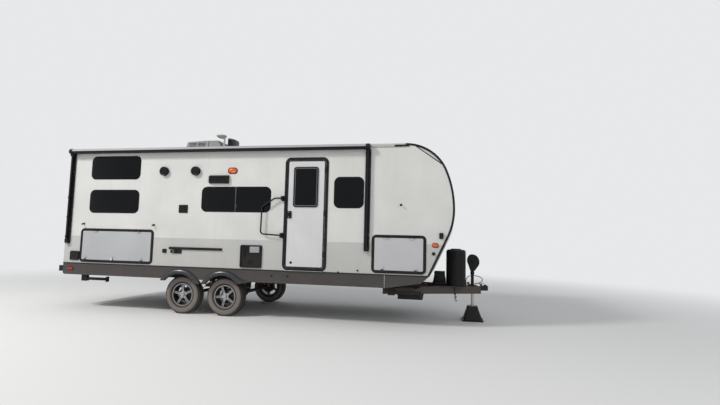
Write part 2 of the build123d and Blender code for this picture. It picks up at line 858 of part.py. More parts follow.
# tongue: two rails that meet at the coupler, the beds of the gas and battery, the jack plate,
# eyelets for the safety chains and the gland of the tow cord
jack_plate_half = 95
chain_x = gas_x - 10
chain_y = tongue_y(chain_x) + 40
eyelet_z = rail_low - 30
eyelet_r = 8
gland_x = gas_x + gas_r + 16
with BuildPart() as tongue_frame:
    for s in (-1, 1):
        with BuildSketch(Plane.XY.offset(tongue_low)) as rail:
            with BuildLine():
                Polyline(
                    (tongue_back_x, s * (tongue_back_y + tongue_w / 2)),
                    (tongue_back_x, s * (tongue_back_y - tongue_w / 2)),
                    (tongue_front_x, s * (tongue_front_y - tongue_w / 2)),
                    (tongue_front_x, s * (tongue_front_y + tongue_w / 2)),
                    (tongue_back_x, s * (tongue_back_y + tongue_w / 2)),
                )
            make_face()
        extrude(amount=tongue_h)
    block(jack_x - 150, jack_x + 100, -jack_plate_half, jack_plate_half, rail_low, bed_z)
    with Locations((jack_x, 0, rail_low)):
        Cylinder(32, 4 * plate_t, mode=Mode.SUBTRACT)
    cross = rail_front_x + 30
    block(cross - 30, cross + 30, 20 - tongue_y(cross), tongue_y(cross) - 20, rail_low - 100, rail_low - 10)
    block(gas_x - 150, gas_x + 150, -gas_r - 190, gas_r + 190, rail_low, bed_z)
    block(battery_x - 106, battery_x + 124, -410, 410, rail_low, bed_z)
    for s in (-1, 1):
        y0, y1 = sorted((s * (tongue_y(chain_x) + 15), s * (chain_y + 12)))
        block(chain_x - 4, chain_x + 4, y0, y1, eyelet_z - 15, eyelet_z + 20)
        with Locations(Location((chain_x, s * chain_y, eyelet_z), (0, 90, 0))):
            Cylinder(eyelet_r, 20, mode=Mode.SUBTRACT)
    with Locations((gland_x, tongue_y(gland_x), rail_low + 15)):
        Cylinder(12, 30)
    with Locations((gland_x, tongue_y(gland_x), rail_low + 37.5)):
        Cone(11, 7.5, 15)
save(tongue_frame.part, "tongue_frame")

# gas cover: two round lobes, a seam where its lid lifts off and a raised filler cap
gas_h = 650
gas_seam_z = bed_z + 500


def gas_outline(z, grow):
    with BuildSketch(Plane.XY.offset(z)) as lobes:
        with Locations((gas_x, -gas_r), (gas_x, gas_r)):
            Circle(gas_r + grow)
        with Locations((gas_x, 0)):
            Rectangle(2 * gas_r - 120 + 2 * grow, 2 * gas_r)
    return lobes.sketch


with BuildPart() as gas_cover:
    extrude(gas_outline(bed_z, 0), amount=gas_h)
    fillet(gas_cover.faces().sort_by(Axis.Z)[-1].edges(), 40)
    with BuildSketch(Plane.XY.offset(gas_seam_z)) as seam_ring:
        add(gas_outline(gas_seam_z, 1))
        add(gas_outline(gas_seam_z, -5), mode=Mode.SUBTRACT)
    extrude(seam_ring.sketch, amount=6, mode=Mode.SUBTRACT)
    with Locations((gas_x, 0, bed_z + gas_h)):
        Cylinder(95, 36)
    fillet(gas_cover.faces().sort_by(Axis.Z)[-1].edges(), 14)
save(gas_cover.part, "gas_cover")

# battery box with drawn-in walls and a lid that laps them
battery_h = 250
lid_h = 46
with BuildPart() as battery_box:
    with BuildSketch(Plane.XY.offset(bed_z)) as base:
        with Locations((battery_x, 0)):
            RectangleRounded(battery_l - 8, battery_w - 8, 22)
    extrude(amount=battery_h, taper=3)
    with BuildSketch(Plane.XY.offset(bed_z + battery_h)) as lid:
        with Locations((battery_x, 0)):
            RectangleRounded(battery_l - 14, battery_w - 14, 20)
    extrude(amount=lid_h, taper=22)
    fillet(battery_box.faces().sort_by(Axis.Z)[-1].edges(), 8)
save(battery_box.part, "battery_box")

# coupler: tapered channel, ball housing with a domed top, latch lever
ball_r = 30
ball_wall = 22
ball_x = tip_x - ball_r - ball_wall
socket_top = rail_low - 20
with BuildPart() as coupler:
    with BuildSketch(Plane.XY.offset(rail_low - 70)) as wedge:
        with BuildLine():
            Polyline(
                (tongue_front_x, -75),
                (ball_x + 2, -ball_r - ball_wall),
                (ball_x + 2, ball_r + ball_wall),
                (tongue_front_x, 75),
                (tongue_front_x, -75),
            )
        make_face()
        with Locations((ball_x, 0)):
            Circle(ball_r + ball_wall)
    extrude(amount=80)
    with Locations((ball_x, 0, rail_low - 6)):
        Sphere(ball_r + 12)
    with Locations((ball_x, 0, socket_top - 25)):
        Cylinder(ball_r, 50, mode=Mode.SUBTRACT)
    with BuildSketch(side(12)) as lever:
        with BuildLine():
            Polyline(
                (ball_x - 90, bed_z),
                (ball_x - 60, bed_z),
                (ball_x - 48, bed_z + 26),
                (ball_x - 86, bed_z + 44),
                (ball_x - 116, bed_z + 38),
                (ball_x - 112, bed_z + 28),
                (ball_x - 88, bed_z + 30),
                (ball_x - 90, bed_z),
            )
        make_face()
    extrude(amount=24)
save(coupler.part, "coupler")

# jack: outer tube with its flange, motor head, sliding leg and a stacked foot
post_r = 28
post_wall = 4
flange_r = 75
head_low = rail_low + 285
jack_travel = 200
foot_h = 264
foot_low_w = 380
foot_top_w = 180
leg_top = head_low - 15 - jack_travel
with BuildPart() as tongue_jack:
    with BuildSketch(side(65)) as head:
        with BuildLine():
            Line((jack_x - 40, head_low), (jack_x + 45, head_low))
            Line((jack_x + 45, head_low), (jack_x + 112, head_low + 100))
            ThreePointArc(
                (jack_x + 112, head_low + 100),
                (jack_x + 120, head_low + 195),
                (jack_x + 62, head_low + 280),
            )
            ThreePointArc(
                (jack_x + 62, head_low + 280),
                (jack_x + 5, head_low + 297),
                (jack_x - 55, head_low + 283),
            )
            ThreePointArc(
                (jack_x - 55, head_low + 283),
                (jack_x - 84, head_low + 240),
                (jack_x - 76, head_low + 110),
            )
            Line((jack_x - 76, head_low + 110), (jack_x - 40, head_low))
        make_face()
    extrude(amount=130)
    head_sides = tongue_jack.faces().filter_by(Axis.Y)
    fillet(head_sides.edges(), 18)
    with Locations((jack_x, 0, (tongue_low + 17 + head_low + 10) / 2)):
        Cylinder(post_r, head_low + 10 - tongue_low - 17)
    with Locations((jack_x, 0, bed_z + 5)):
        Cylinder(flange_r, 10)
    with Locations((jack_x, 0, head_low - 40)):
        Cylinder(post_r + 8, 60)
    with Locations((jack_x, 0, (tongue_low + head_low - 10) / 2)):
        Cylinder(post_r - post_wall, head_low - 10 - tongue_low, mode=Mode.SUBTRACT)
save(tongue_jack.part, "tongue_jack")

with BuildPart() as jack_leg:
    with Locations((jack_x, 0, (foot_h + leg_top) / 2)):
        Cylinder(post_r - post_wall - fit, leg_top - foot_h)
    with Locations((jack_x, 0, foot_h + 6)):
        Cylinder(70, 12)
    with Locations((jack_x, 0, foot_h + 24)):
        Cylinder(34, 24)
save(jack_leg.part, "jack_leg")

with BuildPart() as jack_foot:
    with BuildSketch(Plane.XY) as foot_base:
        with Locations((jack_x, 0)):
            RectangleRounded(foot_low_w, foot_low_w, 40)
    extrude(amount=26)
    with BuildSketch(Plane.XY.offset(26)) as foot_low:
        with Locations((jack_x, 0)):
            RectangleRounded(foot_low_w - 50, foot_low_w - 50, 36)
    with BuildSketch(Plane.XY.offset(foot_h)) as foot_high:
        with Locations((jack_x, 0)):
            RectangleRounded(foot_top_w, foot_top_w, 30)
    loft()
    for along, across in (((1, 0, 0), (0, -1, 0)), ((0, 1, 0), (1, 0, 0))):
        with BuildSketch(Plane(origin=(jack_x, 0, 0), x_dir=along, z_dir=across)) as rib:
            with BuildLine():
                Polyline(
                    (12 - foot_low_w / 2, 20),
                    (foot_low_w / 2 - 12, 20),
                    (foot_top_w / 2, foot_h - 10),
                    (-foot_top_w / 2, foot_h - 10),
                    (12 - foot_low_w / 2, 20),
                )
            make_face()
        extrude(amount=8, both=True)
save(jack_foot.part, "jack_foot")

# wheels, modelled about the origin with the outer face towards -Y
half_t = tyre_w / 2
flange_w = 82
with BuildPart() as tyre:
    with BuildSketch(Plane.XY) as section:
        with BuildLine():
            Polyline(
                (bead_r, -flange_w + 12),
                (bead_r, flange_w - 12),
                (rim_r, flange_w - 6),
                (rim_r + 4, flange_w + 2),
            )
            ThreePointArc((rim_r + 4, flange_w + 2), (tyre_r - 79, half_t), (tyre_r - 22, half_t - 14))
            ThreePointArc((tyre_r - 22, half_t - 14), (tyre_r - 6, half_t - 20), (tyre_r, half_t - 34))
            Line((tyre_r, half_t - 34), (tyre_r, 34 - half_t))
            ThreePointArc((tyre_r, 34 - half_t), (tyre_r - 6, 20 - half_t), (tyre_r - 22, 14 - half_t))
            ThreePointArc((tyre_r - 22, 14 - half_t), (tyre_r - 79, -half_t), (rim_r + 4, -flange_w - 2))
            Polyline((rim_r + 4, -flange_w - 2), (rim_r, 6 - flange_w), (bead_r, 12 - flange_w))
        make_face()
    revolve(axis=Axis.Y)

spoke_out = 60
spoke_deep = 26
spoke_count = 5
hub_r = 66
barrel_r = bead_r - 8
drum_r = 118
with BuildPart() as rim:
    with BuildSketch(Plane.XY) as barrel:
        with BuildLine():
            Polyline(
                (barrel_r, -flange_w),
                (rim_r, -flange_w),
                (rim_r, 6 - flange_w),
                (bead_r, 12 - flange_w),
                (bead_r, flange_w - 12),
                (rim_r, flange_w - 6),
                (rim_r, flange_w),
                (barrel_r, flange_w),
                (barrel_r, 26 - flange_w),
                (barrel_r - 5, 20 - flange_w),
                (barrel_r - 5, 8 - flange_w),
                (barrel_r, -flange_w),
            )
        make_face()
    revolve(axis=Axis.Y)
    with BuildSketch(Plane.XZ.offset(spoke_out - spoke_deep)) as spokes:
        Circle(hub_r)
        with PolarLocations(0, spoke_count):
            Polygon((30, -29), (barrel_r, -21), (barrel_r, 21), (30, 29), align=(Align.NONE, Align.NONE))
    extrude(amount=spoke_deep)
    with BuildSketch(Plane.XZ.offset(spoke_out - 6)) as grooves:
        with PolarLocations(0, spoke_count):
            Polygon((74, -5), (barrel_r - 12, -4), (barrel_r - 12, 4), (74, 5), align=(Align.NONE, Align.NONE))
    extrude(amount=7, mode=Mode.SUBTRACT)
    with BuildSketch(Plane.XZ.offset(spoke_out - 8)) as pockets:
        with PolarLocations(54, spoke_count, start_angle=180 / spoke_count):
            Circle(11)
    extrude(amount=9, mode=Mode.SUBTRACT)
    with BuildSketch(Plane.XZ.offset(spoke_out - 8)) as nuts:
        with PolarLocations(54, spoke_count, start_angle=180 / spoke_count):
            RegularPolygon(8, 6)
    extrude(amount=12)
    rod(0, spoke_deep - spoke_out, 0, 0, hub_r - 4)
    rod(0, 0, wheel_y - drum_plate_y - drum_plate_t - fit, 0, drum_r)
    with BuildSketch(Plane.XZ.offset(spoke_out)) as cap:
        Circle(36)
    extrude(amount=22, taper=14)

wheel_turn = {"front": -17, "rear": 0}
for end, x in zip(("front", "rear"), axle_x):
    near = Location((x, -wheel_y, tyre_r), (0, wheel_turn[end] - 23, 0))
    far = Location((x, wheel_y, tyre_r), (0, 0, 180))
    save(tyre.part.moved(near), "tyre_" + end + "_door")
    save(tyre.part.moved(far), "tyre_" + end + "_off")
    save(rim.part.moved(near), "rim_" + end + "_door")
    save(rim.part.moved(far), "rim_" + end + "_off")

# rear bumper tube with caps that lap its ends, on two short arms
bumper_h = 102
bumper_low = rail_low + 64
with BuildPart() as bumper:
    block(bumper_x, bumper_x + bumper_h, 122 - half_w, half_w - 122, bumper_low, bumper_low + bumper_h)
    fillet(bumper.edges().filter_by(Axis.Y), 10)
    for s in (-1, 1):
        y0, y1 = sorted((s * (half_w - 134), s * (half_w - 119)))
        block(bumper_x - 3, bumper_x + bumper_h + 3, y0, y1, bumper_low - 3, bumper_low + bumper_h + 3)
    for y in (-rail_y, rail_y):
        block(bumper_x + bumper_h, rail_back_x, y - 30, y + 30, bumper_low + 6, bumper_low + bumper_h - 24)
save(bumper.part, "bumper")


def lens(plane, x, z, width, height, deep):
    """Domed lamp body on a plane: a rounded base and a drawn-in front."""
    with BuildPart() as lamp:
        with BuildSketch(plane) as base:
            with Locations((x, z)):
                RectangleRounded(width, height, min(width, height) * 0.3)
        extrude(amount=deep, taper=18)
    return lamp.part


lamp_z = rail_top - 25
with BuildPart() as tail_lamps:
    rear_plane = Plane(origin=(rear_x, 0, 0), x_dir=(0, -1, 0), z_dir=(-1, 0, 0))
    for y in (200 - half_w, half_w - 200):
        add(lens(rear_plane, y, wall_z + 300, 150, 200, 40))
    for y in (-250, 0, 250):
        add(lens(rear_plane, y, roof_z - 152, 100, 36, 20))
    marker = lens(side(-half_w), rear_x + 170, lamp_z, 120, 46, 16)
    add(marker)
    add(marker.mirror(Plane.XZ))
save(tail_lamps.part, "tail_lamps")

# awning: channels and folding arms on the wall, end caps and the rolled fabric between them
arm_x = (rear_x + 75, nose_foot_x - 1045)
arm_low = wall_z + 410
arm_high = roof_z - 110
arm_w = 56
arm_deep = 48
arm_wall = 5
roll_r = 48
end_cap_r = roll_r + 4
end_cap_t = 32
roll_y = half_w + gutter_t + end_cap_r + 1
roll_z = roof_z - 60
with BuildPart() as awning_arms:
    for x in arm_x:
        block(x - arm_w / 2, x + arm_w / 2, -half_w - arm_deep, -half_w, arm_low, arm_high)
        block(
            x - arm_w / 2 + arm_wall,
            x + arm_w / 2 - arm_wall,
            -half_w - arm_deep - 1,
            -half_w - arm_wall,
            arm_low + 40,
            arm_high - 40,
            Mode.SUBTRACT,
        )
        block(x - 16, x + 16, -half_w - 66, -half_w - 1, arm_low + 20, arm_high + 10)
        block(x - 32, x + 32, -half_w - 60, -half_w, arm_low - 30, arm_low + 50)
        for z in (arm_low + 90, (arm_low + arm_high) / 2):
            rod(x, -half_w - 76, -half_w - 20, z, 19)
        with Locations(Location((x, -roll_y, roll_z), (0, 90, 0))):
            Cylinder(end_cap_r, 2 * end_cap_t)
        block(x - 20, x + 20, -half_w - 62, -half_w - 4, arm_high - 20, roll_z)
save(awning_arms.part, "awning_arms")

with BuildPart() as awning_roll:
    with Locations(Location(((arm_x[0] + arm_x[1]) / 2, -roll_y, roll_z), (0, 90, 0))):
        Cylinder(roll_r, arm_x[1] - arm_x[0] - 2 * (end_cap_t + fit))
save(awning_roll.part, "awning_roll")

# cooler on the roof: louvred condenser end, dark joint, plain sloping cowl
cooler_l = 870
cooler_w = 700
cooler_h = 335
cooler_x = axle_mid_x - 1030
joint_x = cooler_x + 520
with BuildPart() as air_conditioner:
    with BuildSketch(side(cooler_w / 2)) as cooler:
        with BuildLine():
            Polyline(
                (cooler_x, roof_z + 38),
                (cooler_x + cooler_l, roof_z + 38),
                (cooler_x + cooler_l, roof_z + 70),
                (cooler_x + cooler_l - 150, roof_z + cooler_h),
                (cooler_x + 440, roof_z + cooler_h),
                (cooler_x + 40, roof_z + cooler_h - 22),
                (cooler_x, roof_z + 70),
                (cooler_x, roof_z + 38),
            )
        make_face()
    extrude(amount=cooler_w)
    with BuildSketch(Plane.YZ.offset(cooler_x - 1)) as cooler_end:
        with BuildLine():
            Polyline(
                (-cooler_w / 2, roof_z),
                (cooler_w / 2, roof_z),
                (cooler_w / 2, roof_z + 90),
                (cooler_w / 2 - 60, roof_z + cooler_h + 1),
                (60 - cooler_w / 2, roof_z + cooler_h + 1),
                (-cooler_w / 2, roof_z + 90),
                (-cooler_w / 2, roof_z),
            )
        make_face()
    extrude(amount=cooler_l + 2, mode=Mode.INTERSECT)
    fillet(air_conditioner.faces().sort_by(Axis.Z)[-1].edges(), 14)
    block(joint_x - 7, joint_x + 7, -cooler_w, cooler_w, roof_z + 66, roof_z + 400, Mode.SUBTRACT)
    block(joint_x - 9, joint_x + 9, 88 - cooler_w / 2, cooler_w / 2 - 88, roof_z + 60, roof_z + cooler_h - 22)
    for step in range(7):
        low = roof_z + 92 + step * 30
        for start, end in ((80, 250), (275, 450)):
            for s in (-1, 1):
                y0, y1 = sorted((s * (cooler_w / 2 - 92), s * (cooler_w / 2 + 1)))
                block(cooler_x + start, cooler_x + end, y0, y1, low, low + 15, Mode.SUBTRACT)
        block(cooler_x - 1, cooler_x + 52, -230, 230, low, low + 15, Mode.SUBTRACT)
    add(roof.part, mode=Mode.SUBTRACT)
save(air_conditioner.part, "air_conditioner")


def low_vent(x):
    """Roof hatch with a flanged curb and a low lid."""
    with BuildPart() as hatch:
        block(x - 200, x + 200, -200, 200, roof_z + 40, roof_z + 72)
        with BuildSketch(Plane.XY.offset(roof_z + 72)) as lid_base:
            with Locations((x, 0)):
                RectangleRounded(380, 380, 30)
        extrude(amount=58, taper=16)
    return hatch.part


cover_x = axle_mid_x + 100
cover_y = -200
with BuildPart() as roof_vents:
    add(low_vent(rear_x + 760))
    add(low_vent(nose_x - 1890))
    block(cover_x - 190, cover_x + 190, cover_y - 190, cover_y + 190, roof_z + 40, roof_z + 70)
    with BuildSketch(Plane.XY.offset(roof_z + 70)) as cover_base:
        with Locations((cover_x, cover_y)):
            RectangleRounded(360, 360, 30)
    extrude(amount=220, taper=5)
    for step in range(4):
        low = roof_z + 100 + step * 40
        block(cover_x - 130, cover_x + 130, cover_y - 200, cover_y - 158, low, low + 16, Mode.SUBTRACT)
        block(cover_x - 130, cover_x + 130, cover_y + 158, cover_y + 200, low, low + 16, Mode.SUBTRACT)
        block(cover_x - 200, cover_x - 158, cover_y - 130, cover_y + 130, low, low + 16, Mode.SUBTRACT)
    add(roof.part, mode=Mode.SUBTRACT)
save(roof_vents.part, "roof_vents")

# aerial: round post in a foot, flat head with drawn-in edges
aerial_x = axle_mid_x - 140
aerial_y = -450
with BuildPart() as aerial:
    with Locations((aerial_x, aerial_y, roof_z + 200)):
        Cylinder(18, 320)
    with Locations((aerial_x, aerial_y, roof_z + 55)):
        Cylinder(60, 50)
    with BuildSketch(Plane.XY.offset(roof_z + 350)) as head_base:
        with Locations((aerial_x - 80, aerial_y)):
            RectangleRounded(240, 220, 50)
    extrude(amount=50, taper=25)
    add(roof.part, mode=Mode.SUBTRACT)
save(aerial.part, "aerial")


def louvres(x0, x1, y_face, y_deep, low, count, pitch, slot_h):
    """Rows of level slots cut into a face."""
    for step in range(count):
        z = low + step * pitch
        block(x0, x1, min(y_face, y_deep), max(y_face, y_deep), z, z + slot_h, Mode.SUBTRACT)


def cover_plate(plane, x, z, width, height, radius, deep, taper=12):
    """Moulded plate with rounded corners and drawn-in edges."""
    with BuildPart() as plate:
        with BuildSketch(plane) as base:
            with Locations((x, z)):
                RectangleRounded(width, height, radius)
        extrude(amount=deep, taper=taper)
    return plate.part


# black fittings of the door side
door_face = side(-half_w)
speaker_x = (axle_mid_x - 840, axle_mid_x - 200)
speaker_z = roof_z - 450
speaker_r = 84
hood_x = axle_mid_x + 270
hood_z = roof_z - 605
with BuildPart() as black_fittings:
    for x in speaker_x:
        rod(x, -half_w - 26, -half_w, speaker_z, speaker_r)
        rod(x, -half_w - 44, -half_w - 26, speaker_z, speaker_r - 14)
        rod(x, -half_w - 45, -half_w - 36, speaker_z, speaker_r - 26, Mode.SUBTRACT)
        rod(x, -half_w - 40, -half_w - 30, speaker_z, 22)
    with BuildSketch(Plane.YZ.offset(hood_x - 190)) as hood:
        with BuildLine():
            Polyline(
                (-half_w, hood_z - 75),
                (-half_w, hood_z + 75),
                (-half_w - 14, hood_z + 75),
                (-half_w - 45, hood_z + 50),
                (-half_w - 45, hood_z - 55),
                (-half_w - 14, hood_z - 75),
                (-half_w, hood_z - 75),
            )
        make_face()
    extrude(amount=380)
    louvres(hood_x - 160, hood_x + 160, -half_w - 46, -half_w - 34, hood_z - 44, 3, 32, 18)
    add(cover_plate(door_face, rear_x + 245, wall_z + 142, 200, 175, 22, 18))
    add(cover_plate(door_face, rear_bay[1] + 248, wall_z + 282, 85, 75, 10, 14))
    add(cover_plate(door_face, rear_bay[1] + 515, wall_z + 278, 160, 75, 10, 14))
    add(cover_plate(door_face, rear_bay[1] + 865, wall_z + 335, 1050, 46, 12, 22))
    add(cover_plate(door_face, entry[0] - 590, wall_z + 230, 410, 400, 24, 12, 20))
    louvres(entry[0] - 740, entry[0] - 440, -half_w - 13, -half_w - 6, wall_z + 300, 4, 26, 12)
    rod(entry[0] - 590, -half_w - 24, -half_w - 10, wall_z + 130, 34)
    rod(entry[0] - 590, -half_w - 25, -half_w - 12, wall_z + 130, 24, Mode.SUBTRACT)
    add(cover_plate(door_face, nose_x - 215, belt_z + 140, 70, 100, 14, 40))
    add(cover_plate(door_face, nose_x - 338, belt_z - 152, 55, 55, 26, 30))
    add(cover_plate(door_face, axle_mid_x - 420, roof_z - 1145, 180, 150, 10, 12, 30))
    louvres(axle_mid_x - 480, axle_mid_x - 360, -half_w - 13, -half_w - 5, roof_z - 1190, 4, 26, 12)
    block(rear_x - 10, rear_x, -800, -490, wall_z + 220, wall_z + 380)
    for x, z in catch_at:
        rod(x, -half_w - 5, -half_w, z, 20)
        rod(x, -half_w - 46, -half_w, z, 7)
        block(x - 10, x + 10, -half_w - 52, -half_w - 40, z - 22, z + 8)
    for z in (handle_low, handle_high):
        block(handle_x - 24, handle_x + 24, -half_w - 8, -half_w, z - 45, z + 45)
        for low in (z + bracket_half - bracket_t, z - bracket_half):
            block(handle_x - 18, handle_x + 18, handle_y - 18, -half_w - 7, low, low + bracket_t)
save(black_fittings.part, "black_fittings")

with BuildPart() as amber_lamps:
    add(lens(door_face, axle_mid_x + 508, roof_z - 455, 175, 100, 40))
    marker = lens(door_face, nose_x - 310, belt_z - 15, 100, 60, 28)
    add(marker)
    add(marker.mirror(Plane.XZ))
save(amber_lamps.part, "amber_lamps")

# fittings of the off side: fridge vents, water heater, service hatches
with BuildPart() as off_fittings:
    for z in (wall_z + 300, roof_z - 430):
        add(cover_plate(door_face, rear_x + 1855, z, 550, 400, 16, 20).mirror(Plane.XZ))
        louvres(rear_x + 1620, rear_x + 2090, half_w + 21, half_w + 8, z - 160, 8, 40, 20)
    add(cover_plate(door_face, entry[0] - 650, wall_z + 250, 410, 400, 24, 12).mirror(Plane.XZ))
    for x in (rear_x + 970, rear_x + 470):
        add(cover_plate(door_face, x, wall_z + 240, 180, 180, 20, 18).mirror(Plane.XZ))
save(off_fittings.part, "off_fittings")

# tow cord: it rises from its gland, sweeps round the jack and lies on the jack plate
cord_r = 6.5
plug_r = 24
plug_l = 85
cord_start = Vector(gland_x, tongue_y(gland_x), rail_low + 45)
cord_route = [
    cord_start,
    cord_start + (0, 0, 46),
    cord_start + (12, 10, 88),
    cord_start + (46, 18, 120),
    cord_start + (98, 16, 135),
    cord_start + (160, 0, 137),
    cord_start + (218, -34, 129),
    cord_start + (264, -84, 114),
    cord_start + (289, -146, 93),
    cord_start + (288, -208, 68),
    cord_start + (257, -258, 42),
    cord_start + (206, -286, 20),
    cord_start + (146, -290, 5),
    cord_start + (88, -274, -5),
    cord_start + (50, -240, -6),
    cord_start + (37, -206, -0.7),
    cord_start + (37, -174, -0.7),
]


def cord_radii(route):
    """The largest bend at each corner that its two runs allow."""
    radii = []
    for before, at, after in zip(route, route[1:], route[2:]):
        run_in = Vector(*at) - Vector(*before)
        run_out = Vector(*after) - Vector(*at)
        half_turn = radians(run_in.get_angle(run_out)) / 2
        radii.append(0.45 * min(run_in.length, run_out.length) / tan(half_turn))
    return radii


radii = cord_radii(cord_route)
print("cord bends", [round(radius) for radius in radii])
with BuildPart() as tow_cord:
    with BuildLine() as run:
        FilletPolyline(*cord_route, radius=radii)
    with BuildSketch(Plane(origin=cord_route[0], z_dir=run.line % 0)) as wire:
        Circle(cord_r)
    sweep(wire.sketch, path=run.line)
cord_length = run.wires()[0].length
print("cord length", round(cord_length), "share", tow_cord.part.volume / (cord_length * wire.sketch.area))
save(tow_cord.part, "tow_cord")

with BuildPart() as tow_plug:
    plug_x, plug_y, plug_z = cord_route[-1]
    rod(plug_x, plug_y, plug_y + 22, plug_z, 14)
    rod(plug_x, plug_y + 22, plug_y + plug_l, plug_z, plug_r)
    block(plug_x - 10, plug_x + 10, plug_y + 30, plug_y + plug_l, plug_z + plug_r - 3, plug_z + plug_r + 5)
save(tow_plug.part, "tow_plug")

# safety chains: links that hang in each other, and a hook on the last
link_wire = 4.5
link_bend = 10
link_half = 12
link_reach = link_half + link_bend
link_pitch = 2 * (link_reach - link_wire) - fit
link_count = 4
first_link_z = eyelet_z - eyelet_r - link_half - sqrt((link_bend - link_wire) ** 2 - 16) + fit


def link(turn):
    """One chain link about the origin, turned about Z."""
    with BuildPart() as ring:
        with BuildSketch(Plane.XY) as legs:
            with Locations((-link_bend, 0), (link_bend, 0)):
                Circle(link_wire)
        extrude(amount=-link_half)
        with BuildSketch(Plane.XY.offset(-link_half)) as leg:
            with Locations((link_bend, 0)):
                Circle(link_wire)
        revolve(leg.sketch, axis=Axis((0, 0, -link_half), (0, 1, 0)), revolution_arc=180)
        mirror(about=Plane.XY)
    return ring.part.rotate(Axis.Z, turn)


with BuildPart() as safety_chains:
    for s in (-1, 1):
        for step in range(link_count + 1):
            with Locations((chain_x, s * chain_y, first_link_z - step * link_pitch)):
                add(link(90 * (step % 2)))
        hook_z = first_link_z - link_count * link_pitch - link_reach
        with BuildLine() as hook_line:
            FilletPolyline(
                (chain_x, s * chain_y, hook_z + 2),
                (chain_x, s * chain_y, hook_z - 40),
                (chain_x + 28, s * chain_y, hook_z - 40),
                (chain_x + 28, s * chain_y, hook_z - 14),
                radius=12,
            )
        with BuildSketch(Plane(origin=(chain_x, s * chain_y, hook_z + 2), z_dir=(0, 0, -1))) as hook_wire:
            Circle(link_wire + 1)
        sweep(hook_wire.sketch, path=hook_line.line)
save(safety_chains.part, "safety_chains")
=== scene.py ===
"""The looks of a travel caravan on two axles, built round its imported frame.

The caravan is put together from the camera and the tow cord through the body, the running
gear and the roof to the small fittings. Sizes are in metres: +X leads to the coupler, +Z is up
and the entry door is on the -Y side.
"""

import math
from functools import reduce

import bmesh
import bpy
from mathutils import Matrix, Vector


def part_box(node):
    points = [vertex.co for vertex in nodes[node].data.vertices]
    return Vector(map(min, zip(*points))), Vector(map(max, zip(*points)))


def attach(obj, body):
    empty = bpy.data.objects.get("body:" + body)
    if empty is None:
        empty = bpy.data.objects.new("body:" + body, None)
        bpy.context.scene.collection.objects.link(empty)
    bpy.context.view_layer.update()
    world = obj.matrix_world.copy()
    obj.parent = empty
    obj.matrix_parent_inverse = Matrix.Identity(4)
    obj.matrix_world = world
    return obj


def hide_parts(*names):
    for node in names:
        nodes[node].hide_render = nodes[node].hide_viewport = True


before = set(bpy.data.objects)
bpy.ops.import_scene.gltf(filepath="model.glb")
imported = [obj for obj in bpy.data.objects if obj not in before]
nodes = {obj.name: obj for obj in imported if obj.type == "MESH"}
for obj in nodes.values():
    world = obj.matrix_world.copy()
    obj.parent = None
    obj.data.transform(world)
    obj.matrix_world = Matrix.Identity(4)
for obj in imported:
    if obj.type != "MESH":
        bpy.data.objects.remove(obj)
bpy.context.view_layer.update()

# The camera stands across from the nose on the door side, at chest height.
# It looks a little back along the caravan and slightly upwards.
scene = bpy.context.scene


def placed(name, data):
    """A new object in the scene that holds some data."""
    made = bpy.data.objects.new(name, data)
    scene.collection.objects.link(made)
    return made


camera_spot = Vector((3.400, -8.711, 1.395))
heading, lift, lean = (math.radians(angle) for angle in (11.361, 4.866, 1.394))
view_lens = bpy.data.cameras.new("camera")
view_lens.lens = 22.68
view_lens.sensor_width = 36
camera = placed("camera", view_lens)
camera.matrix_world = (
    Matrix.Translation(camera_spot)
    @ Matrix.Rotation(heading, 4, "Z")
    @ Matrix.Rotation(math.pi / 2 + lift, 4, "X")
    @ Matrix.Rotation(lean, 4, "Z")
)
scene.camera = camera
scene.view_settings.view_transform = "Standard"


# The tow cord: a seven-core lead in black rubber that leaves its gland on the far tongue rail,
# sweeps round the jack in one stiff loop and ends in a round connector beside the gas cover.
def shader(tree, kind, inputs=None, **settings):
    """A shader node with its settings; an input is a value or another node's output."""
    made = tree.nodes.new("ShaderNode" + kind)
    for name, value in settings.items():
        setattr(made, name, value)
    for name, value in (inputs or {}).items():
        if isinstance(value, bpy.types.NodeSocket):
            tree.links.new(value, made.inputs[name])
        else:
            made.inputs[name].default_value = value
    return made


def blend_colours(tree, share, low, high):
    """The output of a colour mix between two colours or colour outputs."""
    mix = shader(tree, "Mix", {0: share, 6: low, 7: high}, data_type="RGBA")
    return mix.outputs[2]


def spread(tree, value, from_low, from_high, to_low=0.0, to_high=1.0):
    """A value stretched from one range to another, smooth at both ends."""
    ends = {"Value": value, 1: from_low, 2: from_high, 3: to_low, 4: to_high}
    return shader(tree, "MapRange", ends, interpolation_type="SMOOTHSTEP").outputs["Result"]


def maths(tree, operation, *values, **settings):
    """The output of a maths node on values or outputs."""
    made = shader(tree, "Math", dict(enumerate(values)), operation=operation, **settings)
    return made.outputs[0]


def times(tree, *values):
    """The product of values or outputs."""
    return reduce(lambda total, value: maths(tree, "MULTIPLY", total, value), values)


def plus(tree, *values):
    """The sum of values or outputs."""
    return reduce(lambda total, value: maths(tree, "ADD", total, value), values)


def new_group(name, inputs, outputs):
    """An empty node group with sockets of named kinds, and its two ends."""
    group = bpy.data.node_groups.new(name, "ShaderNodeTree")
    for way, sockets in (("INPUT", inputs), ("OUTPUT", outputs)):
        for label, kind in sockets.items():
            group.interface.new_socket(label, in_out=way, socket_type="NodeSocket" + kind)
    given = group.nodes.new("NodeGroupInput").outputs
    return group, given, group.nodes.new("NodeGroupOutput").inputs


weather_inputs = {
    "Colour": "Color",
    "Dust colour": "Color",
    "Dust": "Float",
    "Streaks": "Float",
    "Low": "Float",
    "High": "Float",
    "Roughness": "Float",
    "Grain scale": "Float",
}


